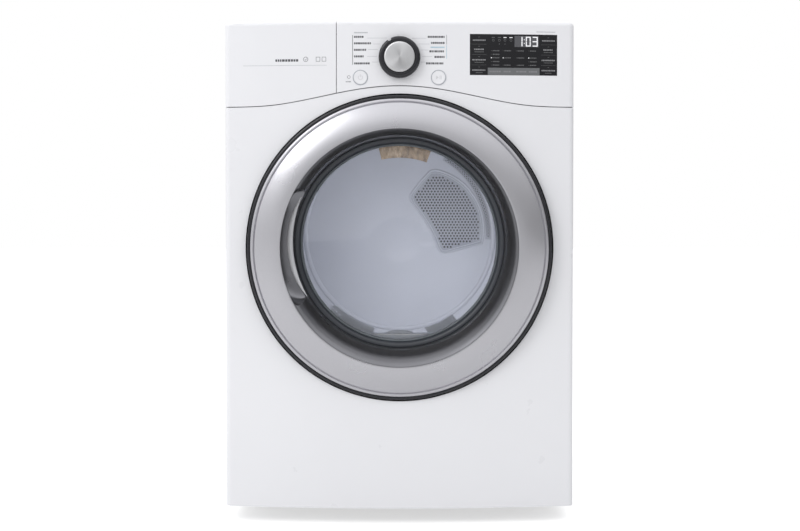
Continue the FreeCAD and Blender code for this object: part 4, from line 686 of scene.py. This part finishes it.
def cycle_legend():
    """Labels beside the selector as plain dashes, with bars and leader lines."""
    dark, grey, pale, blue = Marks(), Marks(), Marks(), Marks()
    dark.bar(-91.7, -90.8, 897.5, 954.7)
    grey.bar(91.3, 92.2, 936.8, 955.5)
    blue.bar(91.3, 92.2, 909.2, 935.2)
    pale.words(-88.4, -62.0, 959.6, 2.4, 1, (1.2, 2.0), 0.5)
    blue.words(60.7, 87.6, 931.1, 2.6, 2, (1.2, 2.0), 0.5)
    left = [(951.4, 20.7), (938.9, 32.8), (926.2, 24.0), (913.5, 20.7), (899.9, 30.8)]
    right = [(951.4, 32.6), (939.7, 26.1), (923.3, 29.3), (912.4, 19.5), (899.9, 35.9)]
    for index, (z, width) in enumerate(left):
        dark.words(-88.4, width - 88.4, z, 3.8, 10 + index)
    for index, (z, width) in enumerate(right):
        dark.words(87.6 - width, 87.6, z, 3.8, 20 + index)
    leaders = [(-63.0, -24.6, 949.0), (-50.7, -36.9, 937.5), (-61.3, -42.5, 926.8), (-63.0, -44.1, 913.5),
               (-53.3, -42.5, 902.4), (24.2, 51.7, 948.6), (37.1, 58.3, 937.5), (41.9, 55.0, 925.8),
               (44.3, 63.8, 913.5), (40.6, 49.4, 902.4)]
    for x0, x1, z in leaders:
        pale.bar(x0, x1, z - 0.3, z + 0.3)
    grey.ring(-98.7, 873.5, 3.2, 2.3)
    grey.words(-104.5, -93.0, 864.4, 2.0, 31, (1.2, 2.4), 0.6)
    dark.piece("legend_dark", "cabinet", "white_plastic", "dark_ink")
    grey.piece("legend_grey", "cabinet", "white_plastic", "grey_ink")
    pale.piece("legend_pale", "cabinet", "white_plastic", "pale_ink")
    blue.piece("legend_blue", "cabinet", "white_plastic", "blue_ink")


def insert_marks():
    """Small label, two plain symbols and a fine rule on the left end panel; one label over the display."""
    dark, grey, pale = Marks(), Marks(), Marks()
    dark.words(-242.5, -197.6, 906.5, 4.6, 41, (2.4, 5.6), 1.1)
    grey.ring(-183.0, 908.4, 5.0, 3.8)
    grey.polygon([(-185.7, 908.4), (-183.0, 905.8), (-179.7, 911.6), (-183.0, 907.8)])
    for x in (-163.0, -151.4):
        grey.outlined_box(x, x + 8.4, 903.9, 913.0, 1.0)
    pale.bar(-306.5, -141.8, 896.4, 897.1)
    pale.words(268.0, 306.5, 962.7, 1.6, 43, (1.2, 2.6), 0.5)
    dark.piece("insert_dark", "cabinet", "white_plastic", "dark_ink")
    grey.piece("insert_grey", "cabinet", "white_plastic", "grey_ink")
    pale.piece("insert_pale", "cabinet", "white_plastic", "pale_ink")


DIGIT_SEGMENTS = {"1": "bc", "0": "abcdef", "3": "abcdg"}


def digit(marks, figure, x, z, width, height, stroke):
    """Seven-segment figure with its lower left corner at (x, z)."""
    middle = z + height / 2
    gap = 0.35
    places = {
        "a": (x + gap, x + width - gap, z + height - stroke, z + height),
        "d": (x + gap, x + width - gap, z, z + stroke),
        "g": (x + gap, x + width - gap, middle - stroke / 2, middle + stroke / 2),
        "b": (x + width - stroke, x + width, middle + gap, z + height - gap),
        "c": (x + width - stroke, x + width, z + gap, middle - gap),
        "f": (x, x + stroke, middle + gap, z + height - gap),
        "e": (x, x + stroke, z + gap, middle - gap),
    }
    for segment in DIGIT_SEGMENTS[figure]:
        marks.bar(*places[segment])


def side_labels(label, dim, x, first_seed):
    """Four labels down one side of the display, with a dot over each and rules between them."""
    rows = [(945.5, 25, 0), (927.7, 20, 18), (907.3, 27, 18), (887.3, 27, 13)]
    for index, (z, width, second) in enumerate(rows):
        label.words(x - width / 2, x + width / 2, z, 2.6, first_seed + index, (1.4, 3.6), 0.7)
        if second:
            dim.words(x - second / 2, x + second / 2, z - 4.9, 1.5, first_seed + 5 + index, (1, 2.2), 0.5)
        dim.bar(x - 1.6, x + 1.6, z + 5.6, z + 6.4)
    for z in (937.7, 917.7, 897.3):
        dim.bar(x - 14.3, x + 14.3, z - 0.2, z + 0.2)


LIT_ROW = 2
UNLIT_COLUMN = 2


def display_face():
    """Time figures on a grey field, a grey key strip, and rows of plain label dashes."""
    field, strip = Marks(), Marks()
    lit, dim, label = Marks(RAISED_INK_LIFT), Marks(RAISED_INK_LIFT), Marks(RAISED_INK_LIFT)
    field.bar(224.6, 272.4, 932.9, 954.5)
    for figure, x, width in (("1", 230.3, 10.0), ("0", 246.8, 9.6), ("3", 259.9, 10.4)):
        digit(lit, figure, x, 934.0, width, 19.0, 2.0)
    for z in (939.9, 947.1):
        lit.bar(243.1, 244.7, z - 0.8, z + 0.8)
    strip.bar(172.1, 274.1, 877.9, 892.1)
    for index, (x, width) in enumerate([(186.4, 22.0), (210.8, 15.0), (238.0, 20.0), (261.9, 18.0)]):
        label.words(x - width / 2, x + width / 2, 884.8, 3.0, 50 + index)
    side_labels(label, dim, 155.3, 60)
    side_labels(label, dim, 291.5, 80)
    rows = [(925.2, "1111"), (918.2, "1000"), (911.5, "1111"), (904.2, "1001"), (897.3, "1111")]
    for row, (z, shown) in enumerate(rows):
        for column, x in enumerate((178.7, 201.7, 227.5, 252.1)):
            if shown[column] == "1":
                bright = row == LIT_ROW and column != UNLIT_COLUMN
                dim.words(x + 3.0, x + 16.0, z, 1.9, 100 + 10 * row + column, (1.2, 3.0), 0.5)
                (lit if bright else dim).disc(x + 0.6, z, 1.0 if bright else 0.6)
    for index, x in enumerate((182.8, 194.7, 205.9, 217.6)):
        (lit if index > 1 else dim).bar(x - 3.0, x + 3.0, 950.4, 951.7)
        dim.ring(x, 945.6, 2.4, 1.7, steps=16)
        if index in (1, 2):
            dim.disc(x, 938.3, 0.9)
    field.piece("display_field", "cabinet", "display_glass", "lcd_grey")
    strip.piece("display_strip", "cabinet", "display_glass", "strip_grey")
    lit.piece("display_figures", "cabinet", "display_glass", "lit_segment")
    dim.piece("display_dim_labels", "cabinet", "display_glass", "dim_label")
    label.piece("display_labels", "cabinet", "display_glass", "label")


# ---- behind the glass ----

INLET_CENTRE = (60.0, AXIS_CENTRE[1] + 15.0)
FAN_RADIUS = 150.0
FAN_HOLE_PITCH = 7.9
FAN_HOLE_RADIUS = 2.5
STRIP_RADIUS = 219.0
STRIP_HALF_WIDTH = 7.0
STRIP_ANGLES = (-3, 60)
STRIP_ROW_GAP = 4.1
STRIP_HOLE_STEP = 2
STRIP_HOLE_RADIUS = 1.9


def fan_outline(inset):
    """Rounded fan outline of (x, z), moved inwards by inset."""
    axis_z = AXIS_CENTRE[1]
    arc = arc_points(FAN_RADIUS - inset, -15 + inset * 0.3, 79 - inset * 0.3, INLET_CENTRE, 24)
    top = [(76 + inset * 0.2, axis_z + 160 - inset), (52 + inset * 0.3, axis_z + 134 - inset)]
    corner = [(31 + inset * 0.7, axis_z + 108 - inset * 0.6), (25 + inset, axis_z + 98 - inset * 0.3),
              (24.5 + inset, axis_z + 88)]
    left = smooth_path([(29 + inset, axis_z + 78), (46 + inset, axis_z + 56), (68 + inset, axis_z + 22),
                        (84 + inset, axis_z - 10), (92 + inset, axis_z - 32)], 4)
    foot = [(99 + inset * 0.8, axis_z - 44 + inset * 0.7), (108 + inset * 0.4, axis_z - 48 + inset),
            (118 + inset * 0.2, axis_z - 46 + inset)]
    return arc + top + corner + left + foot


def strip_outline(inset):
    """Curved strip outside the fan's arc."""
    low, high = STRIP_ANGLES[0] + inset * 0.3, STRIP_ANGLES[1] - inset * 0.3
    half_width = STRIP_HALF_WIDTH - inset
    return (arc_points(STRIP_RADIUS + half_width, low, high, AXIS_CENTRE, 30)
            + arc_points(STRIP_RADIUS - half_width, high, low, AXIS_CENTRE, 30))


def inside(outline, x, z):
    """Whether (x, z) lies within the outline."""
    hit = False
    for index, (x1, z1) in enumerate(outline):
        x0, z0 = outline[index - 1]
        if (z0 > z) != (z1 > z) and x < (x1 - x0) * (z - z0) / (z1 - z0) + x0:
            hit = not hit
    return hit


def hex_spots(outline, pitch, radius):
    """Staggered hole centres whose whole hole lies inside the outline."""
    left = min(x for x, _ in outline)
    right = max(x for x, _ in outline)
    low = min(z for _, z in outline)
    high = max(z for _, z in outline)
    spots = []
    for row in range(int((high - low) / (pitch * math.sqrt(0.75)))):
        z = low + row * pitch * math.sqrt(0.75)
        for column in range(int((right - left) / pitch) + 1):
            x = left + (column + (row % 2) / 2) * pitch
            if all(inside(outline, *polar(radius * 1.2, 45 * turn, (x, z))) for turn in range(8)):
                spots.append((x, z, radius))
    return spots


def inlet_grille():
    """Perforated fan with a raised bead round it, the narrow perforated strip, and a dark sheet behind both
    that paints the shade of the unlit duct.
    """
    y_front, y_back = REAR_WALL_Y - 2.2, REAR_WALL_Y - 0.6
    spots = hex_spots(fan_outline(11), FAN_HOLE_PITCH, FAN_HOLE_RADIUS)
    fan = plate_with_holes("inlet_fan", fan_outline(0), spots, y_front, y_back, "cabinet", "drum_steel",
                           material=GRILLE)
    bead("inlet_fan_bead", fan_outline(2.5), y_front, 2.6, "cabinet", "drum_steel")
    bead("inlet_fan_step", fan_outline(8.0), y_front, 1.0, "cabinet", "drum_steel")
    holes = []
    for row in range(3):
        for index in range(31):
            degrees = STRIP_ANGLES[1] - STRIP_HOLE_STEP * (1 + index + (row % 2) / 2)
            if degrees > STRIP_ANGLES[0] + 1:
                place = polar(STRIP_RADIUS + STRIP_ROW_GAP * (row - 1), degrees, AXIS_CENTRE)
                holes.append((*place, STRIP_HOLE_RADIUS))
    strip = plate_with_holes("inlet_strip", strip_outline(0), holes, y_front, y_back, "cabinet", "drum_steel",
                             sides=9, material=GRILLE)
    # Dark sheets just behind the holes: painted shade standing for the unlit duct behind the inlet.
    for label, outline in (("fan", fan_outline(6)), ("strip", strip_outline(2.5))):
        flat, triangles, _ = flat_triangles([outline])
        new_piece(f"inlet_{label}_liner", [(p.x, REAR_WALL_Y - 0.55, p.y) for p in flat],
                  [tuple(t) for t in triangles], "cabinet", "dark_plastic")
    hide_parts("inlet_grille")
    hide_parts("inlet_grille")


def rear_wall():
    """Blue-grey coated disc in front of the rear bulkhead, open behind the inlet, with a pressed ring."""
    fan, strip = fan_outline(5), strip_outline(2)
    flat, triangles, middles = flat_triangles([arc_points(290.0, 0, 357, AXIS_CENTRE, 119), fan, strip])
    faces = [tuple(t) for t, middle in zip(triangles, middles)
             if not inside(fan, *middle) and not inside(strip, *middle)]
    new_piece("rear_wall_skin", [(p.x, REAR_WALL_Y - 0.5, p.y) for p in flat], faces, "cabinet", "drum_steel")
    ridge = smooth_path([(225.5, -0.4), (228.0, -2.2), (231.5, -2.6), (235.0, -2.2), (237.5, -0.4)], 4)
    lathe("rear_wall_ring", [(reach, REAR_WALL_Y + y) for reach, y in ridge], AXIS_CENTRE, "cabinet",
          "drum_steel", closed=False)


LENS_RADIUS = 190.0
LENS_WIDTH = 31.0
LENS_START = 69.5
LENS_SPAN = 34.0
LENS_DOME = 6.4


def lamp_lens():
    """Curved amber lens with a domed cross-section."""
    def lens_point(along, across):
        ends = min(1.0, 6 * min(along, 1 - along) + 0.12)
        x, z = polar(LENS_RADIUS + LENS_WIDTH * across, LENS_START + LENS_SPAN * along, AXIS_CENTRE)
        return x, REAR_WALL_Y - 1.5 - LENS_DOME * math.sin(math.pi * across) * ends, z

    lens = curved_sheet("lamp_lens", 41, 11, lens_point, "cabinet", "lamp_amber")
    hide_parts("drum_lamp")


SHELF_Z = 362.0
OUTLET_RADII = (183.0, 224.0)
OUTLET_Y = (-247.4, -245.2)
OUTLET_HOLE_ROWS = (192.0, 198.6, 205.2)
OUTLET_HOLE_STEP = 2.3
OUTLET_HOLE_RADIUS = 2.4


def tidy_loop(outline):
    """Outline without points that fall on their neighbour."""
    kept = []
    for point in outline:
        if not kept or math.dist(point, kept[-1]) > 0.05:
            kept.append(point)
    return kept


def outlet_faces():
    """Upright perforated face at each end of the outlet shelf."""
    inner, outer = OUTLET_RADII
    for name, start, end in (("left", 224.0, 254.0), ("right", 286.0, 306.0)):
        arcs = arc_points(outer, start, end, AXIS_CENTRE, 20) + arc_points(inner, end, start, AXIS_CENTRE, 20)
        outline = tidy_loop([(x, max(z, SHELF_Z)) for x, z in arcs])
        holes = []
        for row, radius in enumerate(OUTLET_HOLE_ROWS):
            for index in range(int((end - start) / OUTLET_HOLE_STEP)):
                degrees = start + 1.8 + (index + (row % 2) / 2) * OUTLET_HOLE_STEP
                x, z = polar(radius, degrees, AXIS_CENTRE)
                if degrees < end - 1.4 and z > SHELF_Z + 3.5:
                    holes.append((x, z, OUTLET_HOLE_RADIUS))
        plate_with_holes(f"outlet_face_{name}", outline, holes, *OUTLET_Y, "cabinet", "grey_plastic", sides=9)


FILTER_SHEET = 1.6
FILTER_BORDER = 6.0
FILTER_MARGIN = 16.0
FILTER_PITCH = 9.0
FILTER_HOLE_RADIUS = 3.2


def lint_filter():
    """Pale frame with fine perforated screens front and back, and a low finger tab."""
    low, high = box_mm("lint_filter")
    frame_z = SHELF_Z + 1.5

    def outline(inset):
        left, right, bottom, top = low.x + inset, high.x - inset, low.z + inset, frame_z - inset
        return [(left, bottom), (right, bottom), (right, top), (left, top)]

    columns = int((high.x - low.x - 24) / FILTER_PITCH)
    rows = int((frame_z - low.z - 24) / FILTER_PITCH)
    holes = [(low.x + FILTER_MARGIN + column * FILTER_PITCH, low.z + FILTER_MARGIN + row * FILTER_PITCH,
              FILTER_HOLE_RADIUS) for column in range(columns) for row in range(rows)]
    front_back, back_front = low.y + FILTER_SHEET, high.y - FILTER_SHEET
    for side, y_front, y_back in (("front", low.y, front_back), ("back", back_front, high.y)):
        screen = plate_with_holes(f"filter_screen_{side}", outline(0), holes, y_front, y_back, "lint_screen",
                                  "grey_plastic", sides=8)
        if side == "front":
            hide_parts("lint_filter")
    vertices = [(x, y, z) for y in (front_back, back_front) for inset in (0, FILTER_BORDER)
                for x, z in outline(inset)]
    faces = []
    for corner in range(4):
        following = (corner + 1) % 4
        faces.append((corner, following, following + 8, corner + 8))
        faces.append((corner + 4, corner + 12, following + 12, following + 4))
    new_piece("filter_frame", vertices, faces, "lint_screen", "grey_plastic")

    def tab_point(along, across):
        share = 2 * along - 1
        turn = math.pi * across
        height = 6.5 * (1 - abs(share) ** 3) * math.sin(turn)
        return 30 * share, (low.y + high.y) / 2 - 4.5 * math.cos(turn), frame_z - 0.2 + height

    curved_sheet("filter_tab", 25, 9, tab_point, "lint_screen", "grey_plastic")


# ---- stage ----

FLOOR_REACH = 14.0
FLOOR_PAINT = (0.74, 0.74, 0.74)
FLOOR_GLOW = 0.60


def add_floor():
    """White floor, lifted to plain white by a glow that only the camera sees."""
    mesh = bpy.data.meshes.new("floor")
    corners = [(x * FLOOR_REACH, y * FLOOR_REACH, 0) for x, y in ((-1, -1), (1, -1), (1, 1), (-1, 1))]
    mesh.from_pydata(corners, [], [(0, 1, 2, 3)])
    floor = bpy.data.objects.new("floor", mesh)
    bpy.context.scene.collection.objects.link(floor)
    paint = finish_material("floor_paint", FLOOR_PAINT, 0.8, mottle=(1.0, 0.004), grain=(60.0, 0.02 * MM))
    nodes, links = paint.node_tree.nodes, paint.node_tree.links
    path = nodes.new("ShaderNodeLightPath")
    white = nodes.new("ShaderNodeMath")
    white.operation = "MULTIPLY"
    white.inputs[1].default_value = FLOOR_GLOW
    links.new(path.outputs["Is Camera Ray"], white.inputs[0])
    links.new(white.outputs["Value"], nodes["Principled BSDF"].inputs["Emission Strength"])
    nodes["Principled BSDF"].inputs["Emission Color"].default_value = (1, 1, 1, 1)
    floor.data.materials.append(paint)


WORLD_SIDE_FALL = -0.25
WORLD_SPREAD = ((-0.25, 0.65), (0.02, 1.27))


def add_world():
    """White studio: plain white past the dryer, brighter light from the upper left, darker below."""
    world = bpy.data.worlds.new("studio")
    bpy.context.scene.world = world
    world.use_nodes = True
    nodes, links = world.node_tree.nodes, world.node_tree.links
    light = nodes["Background"]
    light.inputs["Color"].default_value = (0.985, 0.99, 1.0, 1)
    place = nodes.new("ShaderNodeTexCoord")
    split = nodes.new("ShaderNodeSeparateXYZ")
    links.new(place.outputs["Generated"], split.inputs["Vector"])
    side = nodes.new("ShaderNodeMath")
    side.operation = "MULTIPLY_ADD"
    side.inputs[1].default_value = WORLD_SIDE_FALL
    links.new(split.outputs["X"], side.inputs[0])
    links.new(split.outputs["Z"], side.inputs[2])
    links.new(map_range(nodes, links, side.outputs["Value"], *WORLD_SPREAD), light.inputs["Strength"])
    plain = nodes.new("ShaderNodeBackground")
    plain.inputs["Color"].default_value = (1, 1, 1, 1)
    plain.inputs["Strength"].default_value = 1.0
    path = nodes.new("ShaderNodeLightPath")
    chosen = nodes.new("ShaderNodeMixShader")
    links.new(path.outputs["Is Camera Ray"], chosen.inputs["Fac"])
    links.new(light.outputs["Background"], chosen.inputs[1])
    links.new(plain.outputs["Background"], chosen.inputs[2])
    links.new(chosen.outputs["Shader"], nodes["World Output"].inputs["Surface"])


def add_area_light(name, place, target, size, power):
    """Rectangular lamp at a place, turned towards its target."""
    data = bpy.data.lights.new(name, "AREA")
    data.shape = "RECTANGLE"
    data.size, data.size_y = size
    data.energy = power
    lamp = bpy.data.objects.new(name, data)
    lamp.location = place
    lamp.rotation_euler = (Vector(target) - Vector(place)).to_track_quat("-Z", "Y").to_euler()
    bpy.context.scene.collection.objects.link(lamp)
    return lamp


CAMERA_DISTANCE = 2.5
CAMERA_HEIGHT = 0.632
CAMERA_TILT = 1.1
CAMERA_LENS = 57.2
CAMERA_SENSOR = 36.0
CAMERA_SHIFT = -0.05


def add_camera():
    """A little above the dryer's middle, looking slightly down at its front."""
    data = bpy.data.cameras.new("camera")
    data.sensor_width = CAMERA_SENSOR
    data.lens = CAMERA_LENS
    data.shift_y = CAMERA_SHIFT
    camera = bpy.data.objects.new("camera", data)
    camera.location = (0.001, (FRONT_MID_Y + FRONT_BOW) * MM - CAMERA_DISTANCE, CAMERA_HEIGHT)
    camera.rotation_euler = (math.radians(90 - CAMERA_TILT), 0, 0)
    bpy.context.scene.collection.objects.link(camera)
    bpy.context.scene.camera = camera


def set_stage():
    """Floor, world, camera, a key light and a soft light in the drum that stands for its lamp."""
    add_floor()
    add_world()
    add_area_light("key", (-2.2, -3.0, 3.0), (0, 0, 0.6), (1.6, 1.6), 26)
    drum_light = add_area_light("drum_light", (0.08, -0.20, 0.46), (0.08, 0.3, 0.40), (0.36, 0.28), 1.85)
    drum_light.visible_glossy = False
    add_camera()
    bpy.context.scene.view_settings.view_transform = "Standard"


set_stage()
dress_nodes()
door_ring()
door_rim()
door_funnel()
pocket_grip()
window_rim()
selector()
button("power_button", "power_key")
button("start_button", "start_key")
cycle_legend()
insert_marks()
display_face()
rear_wall()
inlet_grille()
lamp_lens()
outlet_faces()
lint_filter()
